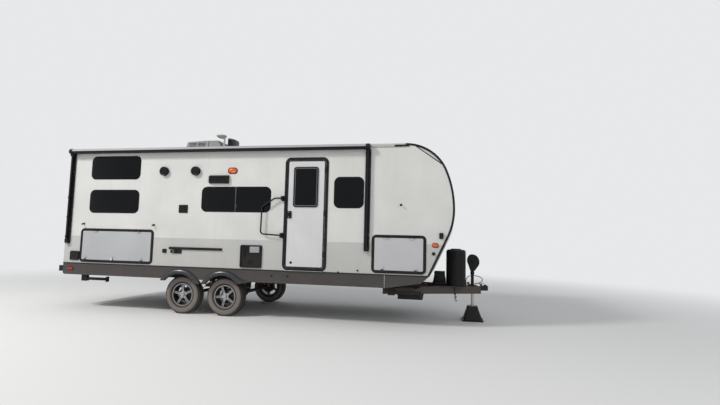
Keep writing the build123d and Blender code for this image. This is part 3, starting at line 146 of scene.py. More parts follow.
def weather_group():
    """Road dust that thickens towards the ground, rain streaks, colour drift and a fine grain."""
    outputs = {"Colour": "Color", "Roughness": "Float", "Height": "Float"}
    group, given, out = new_group("weather", weather_inputs, outputs)
    place = shader(group, "TexCoord").outputs["Object"]
    height = shader(group, "SeparateXYZ", {0: place}).outputs["Z"]
    drift = shader(group, "TexNoise", {"Vector": place, "Scale": 1.7, "Detail": 5}).outputs[0]
    speckle = shader(group, "TexNoise", {"Vector": place, "Scale": 26, "Detail": 6}).outputs[0]
    runs = shader(group, "Mapping", {"Vector": place, "Scale": (14, 14, 0.55)}).outputs[0]
    streak = shader(group, "TexNoise", {"Vector": runs, "Scale": 1.0, "Detail": 3}).outputs[0]
    fine = {"Vector": place, "Scale": given["Grain scale"], "Detail": 2}
    grain = shader(group, "TexNoise", fine).outputs[0]
    near_ground = spread(group, height, given["High"], given["Low"])
    patches = spread(group, plus(group, drift, times(group, speckle, 0.5)), 0.35, 1.0)
    dust = times(group, near_ground, given["Dust"], patches)
    runoff = times(group, spread(group, streak, 0.52, 0.74), given["Streaks"], drift)
    soil = maths(group, "ADD", dust, runoff, use_clamp=True)
    value = spread(group, drift, 0.2, 0.8, 0.93, 1.05)
    shade = shader(group, "HueSaturation", {"Value": value, "Color": given["Colour"]}).outputs[0]
    group.links.new(blend_colours(group, soil, shade, given["Dust colour"]), out["Colour"])
    uneven = spread(group, speckle, 0.3, 0.7, -0.03, 0.05)
    rough = plus(group, given["Roughness"], times(group, soil, 0.4), uneven)
    group.links.new(rough, out["Roughness"])
    group.links.new(plus(group, grain, times(group, soil, speckle, 0.5)), out["Height"])
    return group


weather = weather_group()


def colour(red, green, blue):
    """An opaque colour from display values of 0 to 255."""
    shown = (red, green, blue)
    linear = [((v / 255 + 0.055) / 1.055) ** 2.4 if v > 10 else v / 3295 for v in shown]
    return (*linear, 1.0)


road_dust = colour(140, 128, 108)


def finish(
    name, base, roughness, dust=0.2, streaks=0.0, low=0.2, high=1.2, grain=300.0, bump=0.02, **shine
):
    """A weathered surface; shine holds plain values for other sockets of the shader."""
    material = bpy.data.materials.new(name)
    material.use_nodes = True
    tree = material.node_tree
    bsdf = tree.nodes["Principled BSDF"]
    wear = zip(weather_inputs, (base, road_dust, dust, streaks, low, high, roughness, grain))
    aged = shader(tree, "Group", dict(wear), node_tree=weather)
    tree.links.new(aged.outputs["Colour"], bsdf.inputs["Base Color"])
    tree.links.new(aged.outputs["Roughness"], bsdf.inputs["Roughness"])
    grained = {"Height": aged.outputs["Height"], "Strength": bump, "Distance": 0.002}
    tree.links.new(shader(tree, "Bump", grained).outputs[0], bsdf.inputs["Normal"])
    for socket, value in shine.items():
        bsdf.inputs[socket.replace("_", " ")].default_value = value
    return material


def aged_colour(material, base):
    """Feeds a colour output made in the material's own tree into its weathering."""
    tree = material.node_tree
    aged = next(node for node in tree.nodes if node.type == "GROUP")
    tree.links.new(base, aged.inputs["Colour"])


def where(material, axis):
    """One coordinate of the surface, in metres in the caravan's frame."""
    tree = material.node_tree
    place = shader(tree, "TexCoord").outputs["Object"]
    return shader(tree, "SeparateXYZ", {0: place}).outputs[axis]


def paint(material, *names):
    """Gives CAD nodes their finish."""
    for name in names:
        mesh = nodes[name].data
        mesh.materials.clear()
        mesh.materials.append(material)
        mesh.polygons.foreach_set("material_index", [0] * len(mesh.polygons))


faint_gloss = {"Specular_IOR_Level": 0.22}
black_rubber = finish(
    "black_rubber", colour(20, 20, 22), 0.62, dust=0.08, grain=500, bump=0.15, **faint_gloss
)

cord_width = 0.013
gland = Vector((3.691, 0.15773, 0.665))
cord_steps = (
    (0, 0, 0), (0, 0, 46), (12, 10, 88), (46, 18, 120), (98, 16, 135), (160, 0, 137),
    (218, -34, 129), (264, -84, 114), (289, -146, 93), (288, -208, 68), (257, -258, 42),
    (206, -286, 20), (146, -290, 5), (88, -274, -5), (50, -240, -6), (37, -206, -0.7),
    (37, -174, -0.7),
)
cord_line = bpy.data.curves.new("tow_lead", "CURVE")
cord_line.dimensions = "3D"
cord_line.bevel_depth = cord_width / 2
cord_line.bevel_resolution = 4
cord_line.use_fill_caps = True
cord_run = cord_line.splines.new("NURBS")
cord_run.points.add(len(cord_steps) - 1)
for point, step in zip(cord_run.points, cord_steps):
    point.co = (*(gland + Vector(step) / 1000), 1)
cord_run.order_u = 3
cord_run.use_endpoint_u = True
cord_run.resolution_u = 8
tow_lead = placed("tow_lead", cord_line)
cord_line.materials.append(black_rubber)
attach(tow_lead, "caravan")
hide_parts("tow_cord")


def rounded(bm, geom, offset, segments=2, affect="EDGES"):
    """Rounds edges, or the corners of a face, with a bevel."""
    bmesh.ops.bevel(
        bm,
        geom=geom,
        offset=offset,
        segments=segments,
        profile=0.5,
        affect=affect,
        material=-1,
    )


def slab(bm, low, high, edge=0.0):
    """Adds a block between two corners, its edges rounded."""
    low, high = Vector(low), Vector(high)
    size = Matrix.Diagonal((*(high - low), 1))
    made = bmesh.ops.create_cube(bm, size=1, matrix=Matrix.Translation((low + high) / 2) @ size)
    if edge:
        edges = {e for v in made["verts"] for e in v.link_edges}
        rounded(bm, list(edges), edge)


# the turn that lays a lathe shape's own Z along an axis of the caravan
AXES = {
    "Y": Matrix.Rotation(-math.pi / 2, 4, "X"),
    "-Y": Matrix.Rotation(math.pi / 2, 4, "X"),
    "Z": Matrix.Identity(4),
}


def join(bm, part):
    """Moves a finished shape into the mesh of its piece."""
    mesh = bpy.data.meshes.new("shape")
    part.to_mesh(mesh)
    part.free()
    bm.from_mesh(mesh)
    bpy.data.meshes.remove(mesh)


def turned(bm, outline, centre, axis="Z", steps=32):
    """Adds a lathe shape: outline holds (radius, height) pairs along the axis."""
    part = bmesh.new()
    verts = [part.verts.new((radius, 0, height)) for radius, height in outline]
    edges = [part.edges.new(pair) for pair in zip(verts, verts[1:])]
    bmesh.ops.spin(
        part,
        geom=verts + edges,
        axis=(0, 0, 1),
        cent=(0, 0, 0),
        angle=math.tau,
        steps=steps,
        use_merge=True,
    )
    bmesh.ops.remove_doubles(part, verts=part.verts, dist=1e-5)
    bmesh.ops.transform(part, matrix=Matrix.Translation(centre) @ AXES[axis], verts=part.verts)
    join(bm, part)


def bar(bm, start, end, radius, sides=12, taper=1.0):
    """Adds a round bar between two points."""
    start, end = Vector(start), Vector(end)
    run = end - start
    turn = run.to_track_quat("Z", "Y").to_matrix().to_4x4()
    bmesh.ops.create_cone(
        bm,
        cap_ends=True,
        segments=sides,
        radius1=radius,
        radius2=radius * taper,
        depth=run.length,
        matrix=Matrix.Translation((start + end) / 2) @ turn,
    )


def piece(name, bm, material, body="caravan", sharp=35):
    """Finishes a mesh as a named piece of the caravan that rides on a body."""
    bmesh.ops.recalc_face_normals(bm, faces=bm.faces)
    mesh = bpy.data.meshes.new(name)
    bm.to_mesh(mesh)
    bm.free()
    mesh.materials.append(material)
    mesh.shade_smooth()
    mesh.set_sharp_from_angle(angle=math.radians(sharp))
    made = placed(name, mesh)
    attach(made, body)
    return made


plug_low, plug_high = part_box("tow_plug")
plug_axis = (plug_low + plug_high) / 2
plug_axis.z = gland.z + cord_steps[-1][2] / 1000
plug_outline = [
    (0.0, 0.0), (0.0085, 0.0), (0.0115, 0.006), (0.0115, 0.010), (0.0145, 0.0105),
    (0.0145, 0.020), (0.0235, 0.024), (0.0235, 0.036), (0.0215, 0.037), (0.0215, 0.046),
    (0.0235, 0.047), (0.0235, 0.084), (0.0195, 0.085), (0.0195, 0.070), (0.0, 0.070),
]
plug = bmesh.new()
turned(plug, plug_outline, (plug_axis.x, plug_low.y, plug_axis.z), "Y", 40)
key_half = 0.008
slab(
    plug,
    (plug_axis.x - key_half, plug_low.y + 0.050, plug_axis.z + 0.022),
    (plug_axis.x + key_half, plug_high.y - 0.001, plug_axis.z + 0.028),
    0.002,
)
pin_count = 7
pin_circle = 0.011
pin_r = 0.0028
for pin in range(pin_count):
    angle = math.tau * pin / pin_count
    x = plug_axis.x + pin_circle * math.cos(angle)
    z = plug_axis.z + pin_circle * math.sin(angle)
    inner, outer = (Vector((x, plug_low.y + along, z)) for along in (0.068, 0.080))
    bar(plug, inner, outer, pin_r)
tow_connector = piece("tow_connector", plug, black_rubber)
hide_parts("tow_plug")


# The body shell: smooth laminated panels on a frame, off-white above the belt line and light
# grey below it, with pale lining board on the inside of the walls. A thin black bead on the
# joint where the nose's shoulder folds in also stands for the shade along the fold: painted shade.
belt_z = 1.37
roof_edge_z = 3.05
outer_y = 1.219
lining_y = 1.1695
off_white = colour(207, 207, 204)
lower_grey = colour(184, 184, 182)
lining_beige = colour(176, 166, 150)
near_black = colour(15, 16, 19)


def two_tone(name, lined):
    """Shell paint that changes at the belt, and to lining board inside a wall."""
    material = finish(
        name, off_white, 0.36, dust=0.16, streaks=0.10, low=0.8, high=1.5, grain=60, bump=0.010
    )
    tree = material.node_tree
    above = spread(tree, where(material, "Z"), belt_z - 0.003, belt_z + 0.003)
    tone = blend_colours(tree, above, lower_grey, off_white)
    if lined:
        depth = maths(tree, "ABSOLUTE", where(material, "Y"))
        outside = spread(tree, depth, lining_y - 0.0002, lining_y + 0.0002)
        tone = blend_colours(tree, outside, lining_beige, tone)
    aged_colour(material, tone)
    return material


paint(two_tone("wall_panels", True), "wall_door_side", "wall_off_side")
paint(two_tone("end_panels", False), "front_cap", "rear_wall")


# The edge strips: black vinyl over the nose joint and along the floor line, and the gutter,
# which shows bare aluminium from the awning's front arm to the nose. Pan head screws hold it.
vinyl_black = colour(20, 20, 24)
gutter_bare = colour(178, 176, 172)
black_vinyl = finish(
    "edge_vinyl", vinyl_black, 0.42, dust=0.06, low=0.6, high=1.6, grain=200, **faint_gloss
)
gutter_low = roof_edge_z - 0.06
pale_gutter = (2.06, 2.46)
tree = black_vinyl.node_tree
along_x = where(black_vinyl, "X")
bare = times(
    tree,
    spread(tree, where(black_vinyl, "Z"), gutter_low - 0.002, gutter_low),
    spread(tree, along_x, pale_gutter[0], pale_gutter[0] + 0.01),
    spread(tree, along_x, pale_gutter[1] + 0.01, pale_gutter[1]),
)
aged_colour(black_vinyl, blend_colours(tree, bare, vinyl_black, gutter_bare))
paint(black_vinyl, "edge_trim")

steel_screw = finish("screw_steel", colour(150, 150, 152), 0.3, grain=900, Metallic=1.0)


def screws(bm, spots, outward, radius=0.005):
    """Adds domed screw heads; outward is the direction that their heads face."""
    outward = Vector(outward)
    for spot in spots:
        spot = Vector(spot)
        bar(bm, spot, spot + outward * 0.0022, radius, 10, 0.55)


def spaced(start, end, count):
    """Evenly spaced numbers from one end of a row to the other."""
    return [start + (end - start) * step / (count - 1) for step in range(count)]


gutter_face = outer_y + 0.016
gutter_screw_z = roof_edge_z - 0.041
shoulder_bead_shade_r = 0.008
gutter = bmesh.new()
shoulders = bmesh.new()
for side in (-1, 1):
    row = [(x, side * gutter_face, gutter_screw_z) for x in spaced(-3.86, 2.62, 44)]
    screws(gutter, row, (0, side, 0), 0.0045)
    wall_y = side * (outer_y + 0.001)
    # the black bead on the shoulder's fold is thick enough to stand for the shade along it as
    # painted shade
    bar(shoulders, (2.770, wall_y, 3.036), (3.255, wall_y, 2.690), shoulder_bead_shade_r)
piece("gutter_screws", gutter, steel_screw)
piece("shoulder_bead_shade", shoulders, black_vinyl)


# The roof: white rubber membrane bonded to the deck. Self-levelling sealant lies in a wide soft
# bead round the foot of every roof unit.
membrane = finish(
    "roof_membrane", colour(196, 195, 190), 0.72, dust=0.3, low=3.3, high=2.9, grain=160, bump=0.2
)
paint(membrane, "roof")
lap_sealant = finish("lap_sealant", colour(176, 174, 166), 0.5, dust=0.3, grain=90, bump=0.3)


def plate(bm, low, high, radius, facing="Y", width=0.0, edge=0.0, rounds=6):
    """Adds a flat panel with rounded corners, or a ring of it as wide as width.

    low and high are opposite corners; facing is the axis along which the panel is thin.
    """
    low, high = Vector(low), Vector(high)
    thin = "XYZ".index(facing)
    across, along = ((1, 2), (0, 2), (0, 1))[thin]
    part = bmesh.new()
    corners = []
    for first, second in ((low, low), (high, low), (high, high), (low, high)):
        spot = low.copy()
        spot[across] = first[across]
        spot[along] = second[along]
        corners.append(part.verts.new(spot))
    part.faces.new(corners)
    rounded(part, corners, radius, rounds, "VERTICES")
    if width:
        centre = part.faces[:]
        bmesh.ops.inset_region(
            part, faces=centre, thickness=width, use_boundary=True, use_even_offset=True
        )
        bmesh.ops.delete(part, geom=centre, context="FACES")
    depth = high[thin] - low[thin]
    bmesh.ops.solidify(part, geom=part.faces[:], thickness=depth)
    shift = Vector()
    shift[thin] = low[thin] - min(vert.co[thin] for vert in part.verts)
    bmesh.ops.translate(part, vec=shift, verts=part.verts)
    if edge:
        rims = [e for e in part.edges if e.is_manifold and e.calc_face_angle() > 1.0]
        rounded(part, rims, edge)
    join(bm, part)


def mirrored(side, low, high):
    """Two distances from the middle of the caravan as y values on one side, in rising order."""
    return sorted((side * low, side * high))


# each foot runs from x0 to x1 and from y0 to y1
low_vent_feet = ((-3.32, -2.92, -0.20, 0.20), (1.38, 1.78, -0.20, 0.20))
hood_foot = (-1.09, -0.83, -0.36, -0.06)
cooler_foot = (-2.01, -1.14, -0.35, 0.35)
aerial_foot = Vector((-1.06, -0.46, 3.096))
sealant_lap = 0.03
sealant = bmesh.new()
for x0, x1, y0, y1 in (*low_vent_feet, hood_foot, cooler_foot):
    low = (x0 - sealant_lap, y0 - sealant_lap, 3.092)
    high = (x1 + sealant_lap, y1 + sealant_lap, 3.116)
    plate(sealant, low, high, 0.070, "Z", width=0.045, edge=0.003)
mound = [(0.0, 0.0), (0.09, 0.0), (0.07, 0.012), (0.0, 0.014)]
turned(sealant, mound, aerial_foot)
piece("roof_sealant", sealant, lap_sealant)


# The windows: frameless panes of tinted glass, round at the corners, bonded over their openings
# on a black gasket. Two of them have a sliding half with a slim grey bar and a finger pull.
glass_wear = {"dust": 0.01, "low": 1.6, "high": 3.0, "grain": 40, "bump": 0.0}
tinted_glass = finish("tinted_glass", colour(4, 6, 10), 0.05, Specular_IOR_Level=0.16, **glass_wear)
black_wear = {"dust": 0.05, "low": 0.6, "high": 2.2, "grain": 240, "bump": 0.05}
satin_black = finish("satin_black", near_black, 0.4, **black_wear, **faint_gloss)
paint(satin_black, "opening_frames")
paint(tinted_glass, "entry_glass")
pane_corner = 0.098
pane_lap = 0.004
# side, x from and to, z from and to
panes = (
    (-1, -3.390, -2.335, 2.455, 2.895),
    (-1, -3.385, -2.330, 1.815, 2.250),
    (-1, -1.040, 0.290, 1.860, 2.310),
    (-1, 1.440, 1.955, 1.950, 2.480),
    (1, -2.250, -1.550, 1.950, 2.400),
    (1, -1.000, 0.500, 1.850, 2.450),
    (1, 2.330, 2.830, 1.950, 2.480),
)


def wall_plate(bm, side, span, low, high, radius, lap=0.0, **form):
    """Adds a plate to a side wall; span holds x and z from and to, and lap widens it."""
    x0, x1, z0, z1 = span
    y0, y1 = mirrored(side, low, high)
    plate(bm, (x0 - lap, y0, z0 - lap), (x1 + lap, y1, z1 + lap), radius + lap, **form)


glass = bmesh.new()
gaskets = bmesh.new()
for side, *span in panes:
    low, high = outer_y, outer_y + 0.007
    wall_plate(glass, side, span, low, high, pane_corner, edge=0.002, rounds=12)
    low, high = outer_y - 0.002, outer_y + 0.0045
    form = {"width": 0.012, "rounds": 12}
    wall_plate(gaskets, side, span, low, high, pane_corner, pane_lap, **form)
window_panes = piece("window_panes", glass, tinted_glass)
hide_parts("windows")
piece("window_gaskets", gaskets, black_rubber)
sliders = bmesh.new()
for side, x, low, high in ((-1, -0.375, 1.868, 2.302), (1, -0.250, 1.858, 2.442)):
    y0, y1 = mirrored(side, outer_y + 0.006, outer_y + 0.010)
    slab(sliders, (x - 0.008, y0, low), (x + 0.008, y1, high), 0.0015)
    y0, y1 = mirrored(side, outer_y + 0.006, outer_y + 0.016)
    slab(sliders, (x + 0.014, y0, low + 0.05), (x + 0.024, y1, low + 0.13), 0.003)
slider_grey = finish("slider_grey", colour(70, 67, 64), 0.4, dust=0.1, grain=240, bump=0.05)
piece("window_sliders", sliders, slider_grey)


# The entry door: a white laminated leaf with a black edge moulding, hung in a black frame. It has
# a lift lock, a window in a black ring with a grey bead, a holder button near its foot and an
# aluminium sill under it.
leaf_face = outer_y + 0.010


def leaf_paint(name, base, latch_top, hinge_foot):
    """Leaf paint; hardware beyond the face is black under latch_top and over hinge_foot."""
    material = finish(
        name, base, 0.36, dust=0.10, streaks=0.06, low=0.8, high=1.4, grain=60, bump=0.010
    )
    tree = material.node_tree
    depth = maths(tree, "ABSOLUTE", where(material, "Y"))
    proud = spread(tree, depth, leaf_face + 0.0010, leaf_face + 0.0015)
    height = where(material, "Z")
    latches = spread(tree, height, latch_top + 0.001, latch_top)
    hinges = spread(tree, height, hinge_foot, hinge_foot + 0.001)
    tone = blend_colours(tree, times(tree, proud, plus(tree, latches, hinges)), base, near_black)
    aged_colour(material, tone)
    return material


def disc(radius, height, crown):
    """The lathe outline of a disc whose face rises to its crown."""
    return [(0.0, 0.0), (radius, 0.0), (radius, height), (0.0, crown)]


door_white = leaf_paint("door_leaf", colour(203, 203, 204), latch_top=0.0, hinge_foot=0.5)
paint(door_white, "entry_door")
paint(satin_black, "entry_lock", "grab_handle")
button = [(0.0, 0.0), (0.022, 0.0), (0.022, 0.004), (0.012, 0.008), (0.012, 0.012), (0.0, 0.014)]
holder = bmesh.new()
turned(holder, button, (0.705, -leaf_face, 1.0), "-Y", 24)
piece("door_holder", holder, satin_black, "entry")
key_face = disc(0.008, 0.0015, 0.002)
lock_low, lock_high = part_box("entry_lock")
lock_x = (lock_low.x + lock_high.x) / 2
cylinders = bmesh.new()
for z in (lock_low.z + 0.022, lock_high.z - 0.022):
    turned(cylinders, key_face, (lock_x, lock_low.y + 0.001, z), "-Y", 20)
piece("door_key_faces", cylinders, steel_screw, "entry")
glass_seat = -1.2345
ring = bmesh.new()
low, high = (0.711, glass_seat - 0.0085, 1.956), (1.159, glass_seat, 2.659)
plate(ring, low, high, 0.045, width=0.024, edge=0.003)
piece("door_window_ring", ring, satin_black, "entry")
bead = bmesh.new()
low, high = (0.734, glass_seat - 0.0045, 1.979), (1.136, glass_seat, 2.636)
plate(bead, low, high, 0.026, width=0.009, edge=0.002)
bead_grey = finish("bead_grey", colour(118, 120, 124), 0.35, dust=0.1, grain=240, bump=0.04)
piece("door_window_bead", bead, bead_grey, "entry")
sill_face = -1.252
sill = bmesh.new()
slab(sill, (0.60, sill_face, 0.858), (1.28, -1.200, 0.866), 0.002)
row = [(x, sill_face + 0.0005, 0.862) for x in spaced(0.64, 1.24, 5)]
screws(sill, row, (0, -1, 0), 0.004)
moulding = bmesh.new()
low, high = (0.597, -leaf_face - 0.0040, 0.912), (1.283, -leaf_face + 0.0005, 2.778)
plate(moulding, low, high, 0.045, width=0.020, edge=0.0015)
piece("door_edge_moulding", moulding, black_rubber, "entry")
bare_aluminium = finish("bare_aluminium", colour(176, 177, 178), 0.35, grain=500, Metallic=0.9)
piece("door_sill", sill, bare_aluminium)


# The opening frames: a rubber weather lip runs round each of them on the wall, and the doors
# hang in them on bulb seals that show as a thin dark line.
lip_lap = 0.009
lip_form = {"width": 0.016, "edge": 0.003, "rounds": 10}
# side, x from and to, z from and to, corner radius
openings = (
    (-1, 0.555, 1.325, 0.870, 2.820, 0.085),
    (-1, -3.520, -1.980, 0.885, 1.505, 0.060),
    (-1, 2.120, 3.005, 0.885, 1.500, 0.060),
    (1, 2.120, 3.005, 0.885, 1.500, 0.060),
)
lips = bmesh.new()
for side, *span, radius in openings:
    low, high = outer_y - 0.001, outer_y + 0.009
    wall_plate(lips, side, span, low, high, radius + lip_lap, lip_lap, **lip_form)
piece("weather_lips", lips, black_rubber)


# The storage doors: laminated leaves in black frames, hinged at the top on one long rail, with
# black thumb latches at the foot. The middle latch of the rear door is white.
latch_top = 0.942
key_z = 0.945
latch_face = outer_y + 0.0265
rear_leaf = leaf_paint("rear_leaf", colour(172, 174, 177), latch_top, hinge_foot=1.463)
front_leaf = leaf_paint("front_leaf", colour(184, 184, 187), latch_top, hinge_foot=1.458)
paint(rear_leaf, "rear_bay_door")
paint(front_leaf, "front_bay_door", "off_bay_door")
white_plastic = finish("white_plastic", colour(206, 206, 202), 0.4, dust=0.1, grain=200)
for name, body, side, latch_xs in (
    ("rear_latch_faces", "rear_bay", -1, (-3.400, -2.200)),
    ("front_latch_faces", "front_bay", -1, (2.293, 2.845)),
    ("off_latch_faces", "off_bay", 1, (2.293, 2.845)),
):
    faces = bmesh.new()
    for x in latch_xs:
        outward = "-Y" if side < 0 else "Y"
        turned(faces, key_face, (x, side * latch_face, key_z), outward, 20)
    piece(name, faces, steel_screw, body)
thumb = bmesh.new()
plate(thumb, (-2.842, -1.2485, 0.925), (-2.798, -1.2455, 0.968), 0.008, edge=0.001)
turned(thumb, key_face, (-2.820, -1.248, 0.946), "-Y", 20)
piece("rear_thumb_latch", thumb, white_plastic, "rear_bay")


# The wall fittings: moulded black hatches, outlets, vents and speakers, each screwed to the wall
# on a foam seal, with its lid, slats or rings as raised detail.
paint(satin_black, "black_fittings")


def louvres(bm, side, across, back, proud, foot, count, pitch, height, edge=0.002):
    """Adds a stack of level slats to a side wall, from its foot up; across is a range of x."""
    y0, y1 = mirrored(side, back, back + proud)
    for step in range(count):
        z = foot + pitch * step
        slab(bm, (across[0], y0, z), (across[1], y1, z + height), edge)


# how far each fitting's face stands from the middle of the caravan
cable_face, heater_face, outlet_face = 1.2365, 1.2425, 1.2305
rail_face, speaker_face, hood_face = 1.2400, 1.2625, 1.2630
detail = bmesh.new()
# x from and to, z from and to, face, rim's height, corner radius, rim's width, edge
for *span, face, proud, radius, rim, edge in (
    (-3.728, -3.542, 0.912, 1.072, cable_face, 0.0045, 0.016, 0.014, 0.002),
    (-0.232, 0.162, 0.888, 1.272, heater_face, 0.0050, 0.020, 0.016, 0.002),
    (-1.484, -1.316, 1.836, 1.974, outlet_face, 0.0045, 0.008, 0.010, 0.001),
):
    wall_plate(detail, -1, span, face, face + proud, radius, width=rim, edge=edge)
slab(detail, (-3.690, -cable_face - 0.005, 0.920), (-3.580, -cable_face, 0.934), 0.002)
louvres(detail, -1, (-3.700, -3.570), cable_face, 0.0035, 0.955, 3, 0.030, 0.010, 0.0015)
louvres(detail, -1, (-0.206, -0.128), heater_face, 0.0045, 1.075, 7, 0.024, 0.012)
louvres(detail, -1, (-1.470, -1.330), outlet_face, 0.0055, 1.851, 6, 0.020, 0.009)
louvres(detail, -1, (-0.885, -0.535), hood_face, 0.0035, 2.382, 2, 0.116, 0.010, 0.0015)
for x in (-0.83, -0.61):
    slab(detail, (x, -hood_face - 0.006, 2.374), (x + 0.022, -hood_face, 2.396), 0.002)
turned(detail, disc(0.030, 0.006, 0.008), (-1.732, -1.2325, 1.128), "-Y", 28)
turned(detail, disc(0.015, 0.010, 0.012), (1.880, -outer_y, 0.905), "-Y", 24)
for x in (-1.600, -1.530):
    slab(detail, (x, -1.2455, 1.098), (x + 0.050, -1.2405, 1.150), 0.003)
slab(detail, (-1.636, -rail_face - 0.004, 1.200), (-0.594, -rail_face, 1.207), 0.0015)
speaker_rings = [(0.084, 0.0), (0.084, 0.004), (0.077, 0.006), (0.070, 0.002)]
for radius in (0.060, 0.046, 0.032, 0.018):
    speaker_rings += [
        (radius + 0.004, 0.002),
        (radius + 0.003, 0.0045),
        (radius - 0.003, 0.0045),
        (radius - 0.004, 0.002),
    ]
speaker_rings.append((0.0, 0.004))
for x in (-1.82, -1.18):
    turned(detail, speaker_rings, (x, -speaker_face, 2.6), "-Y", 40)
piece("fitting_detail", detail, satin_black)

wall_screws = bmesh.new()
for x0, x1, z0, z1, face in (
    (-3.726, -3.544, 0.914, 1.070, cable_face + 0.0050),
    (-0.224, 0.154, 0.896, 1.264, heater_face + 0.0050),
    (-1.478, -1.322, 1.842, 1.968, outlet_face + 0.0045),
    (0.506, 0.534, 1.425, 1.495, outer_y),
    (3.229, 3.281, 1.469, 1.551, outer_y + 0.0400),
):
    spots = [(x, -face, z) for x in (x0, x1) for z in (z0, z1)]
    screws(wall_screws, spots, (0, -1, 0), 0.0035)
piece("fitting_screws", wall_screws, steel_screw)

blank = bmesh.new()
plate(blank, (-0.052, -1.2455, 1.150), (0.126, -1.2428, 1.254), 0.006, edge=0.0006)
blank_grey = finish("blank_plate", colour(148, 150, 154), 0.45, dust=0.1, grain=400, bump=0.04)
piece("hatch_plate", blank, blank_grey)

off_plastic = finish("off_fitting", off_white, 0.45, grain=200, bump=0.03)
paint(off_plastic, "off_fittings")
slats = bmesh.new()
for foot in (0.97, 2.44):
    louvres(slats, 1, (-2.26, -1.79), 1.2385, 0.0045, foot, 9, 0.038, 0.018)
span = (-0.285, 0.095, 0.915, 1.285)
wall_plate(slats, 1, span, 1.2305, 1.2345, 0.02, width=0.015, edge=0.002)
for x in (-3.41, -2.91):
    span = (x - 0.078, x + 0.078, 1.012, 1.168)
    wall_plate(slats, 1, span, 1.2365, 1.2400, 0.02, width=0.012, edge=0.001)
piece("off_slats", slats, off_plastic)


# The lamps: oval amber lenses with pressed rings high and low on the walls, and red lenses at the
# rear, all moulded in acrylic and seated on black bases.
amber_lens = finish("amber_lens", colour(214, 92, 20), 0.2, dust=0.05, bump=0.05)
red_lens = finish("red_lens", colour(170, 24, 20), 0.2, dust=0.05, bump=0.05)
paint(red_lens, "tail_lamps")
dome_outline = [
    (0.0, 0.0), (1.0, 0.0), (1.0, 0.20), (0.94, 0.26), (0.91, 0.48), (0.82, 0.72), (0.70, 0.86),
]
for groove in (0.64, 0.44, 0.24):
    crest = 1.0 - 0.32 * groove ** 2
    dome_outline += [(groove + 0.03, crest - 0.03), (groove, crest - 0.05), (groove - 0.04, crest)]
dome_outline.append((0.0, 1.0))
bases = bmesh.new()
domes = bmesh.new()


def dome(centre, side, half_size):
    """Adds an oval lens with a flat rim and three pressed rings."""
    part = bmesh.new()
    turned(part, dome_outline, (0, 0, 0), "-Y" if side < 0 else "Y", 48)
    stretch = Matrix.Translation(centre) @ Matrix.Diagonal((*half_size, 1))
    bmesh.ops.transform(part, matrix=stretch, verts=part.verts)
    join(domes, part)


lens_back = outer_y + 0.0005
dome((-0.457, -lens_back, 2.603), -1, (0.086, 0.031, 0.050))
plate(bases, (-0.552, -1.226, 2.545), (-0.362, -1.218, 2.661), 0.057, edge=0.002)
for side in (-1, 1):
    low, high = outer_y - 0.001, outer_y + 0.005
    wall_plate(bases, side, (3.104, 3.216, 1.316, 1.394), low, high, 0.038, edge=0.001)
    wall_plate(bases, side, (-3.776, -3.644, 0.716, 0.774), low, high, 0.014, edge=0.001)
    dome((3.160, side * lens_back, 1.355), side, (0.051, 0.024, 0.032))
    y0, y1 = mirrored(side, 0.938, 1.100)
    plate(bases, (-3.888, y0, 1.044), (-3.878, y1, 1.256), 0.020, "X", edge=0.002)
    screws(bases, [(-3.92, side * 1.019, z) for z in (1.068, 1.232)], (-1, 0, 0))
piece("lamp_bases", bases, satin_black)
amber_domes = piece("amber_domes", domes, amber_lens)
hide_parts("amber_lamps")


# The awning: acrylic fabric rolled on a tube, pale on top and painted dark below as painted shade,
# with a black hem below, between black folding arms that stand in channels on the wall.
cloth_pale = colour(168, 165, 170)
cloth_painted_shade = colour(18, 18, 20)
cloth_shade_line_z = 2.986
awning_cloth = finish("awning_cloth", cloth_pale, 0.8, 0.05, grain=500, bump=0.3, **faint_gloss)
tree = awning_cloth.node_tree
# the roll below this line is painted dark as painted shade under the roll
above_painted_shade = spread(tree, where(awning_cloth, "Z"), cloth_shade_line_z, cloth_shade_line_z + 0.006)
aged_colour(awning_cloth, blend_colours(tree, above_painted_shade, cloth_painted_shade, cloth_pale))
paint(awning_cloth, "awning_roll")
paint(satin_black, "awning_arms")
arm_knob = [
    (0, 0), (0.006, 0), (0.006, 0.012), (0.019, 0.012), (0.021, 0.018), (0.019, 0.026),
    (0, 0.028),
]
arm_back = -outer_y + 0.0005
arm_face = -1.246
arms = bmesh.new()
feet = bmesh.new()
for x in (-3.805, 2.025):
    slab(arms, (x - 0.047, arm_face, 1.245), (x + 0.047, arm_back, 2.950), 0.004)
    slab(arms, (x - 0.040, arm_face - 0.006, 1.225), (x + 0.040, arm_back, 1.300), 0.004)
    slab(arms, (x - 0.036, -1.292, 2.900), (x + 0.036, arm_face + 0.006, 2.968), 0.006)
    turned(arms, arm_knob, (x, arm_face - 0.020, 1.72), "-Y", 24)
    for z in (1.262, 1.50, 2.60, 2.935):
        pair = [(x - 0.031, arm_face, z), (x + 0.031, arm_face, z)]
        screws(feet, pair, (0, -1, 0), 0.006)
    slab(feet, (x - 0.022, arm_face - 0.016, 1.198), (x + 0.022, arm_back, 1.228), 0.003)
piece("arm_channels", arms, satin_black)
piece("arm_feet", feet, bare_aluminium)
hem = bmesh.new()
slab(hem, (-3.745, -1.330, 2.945), (1.965, -1.306, 2.962), 0.004)
bar(hem, (0.44, -1.328, 2.9405), (0.52, -1.328, 2.9405), 0.0025)
piece("awning_hem", hem, black_rubber)


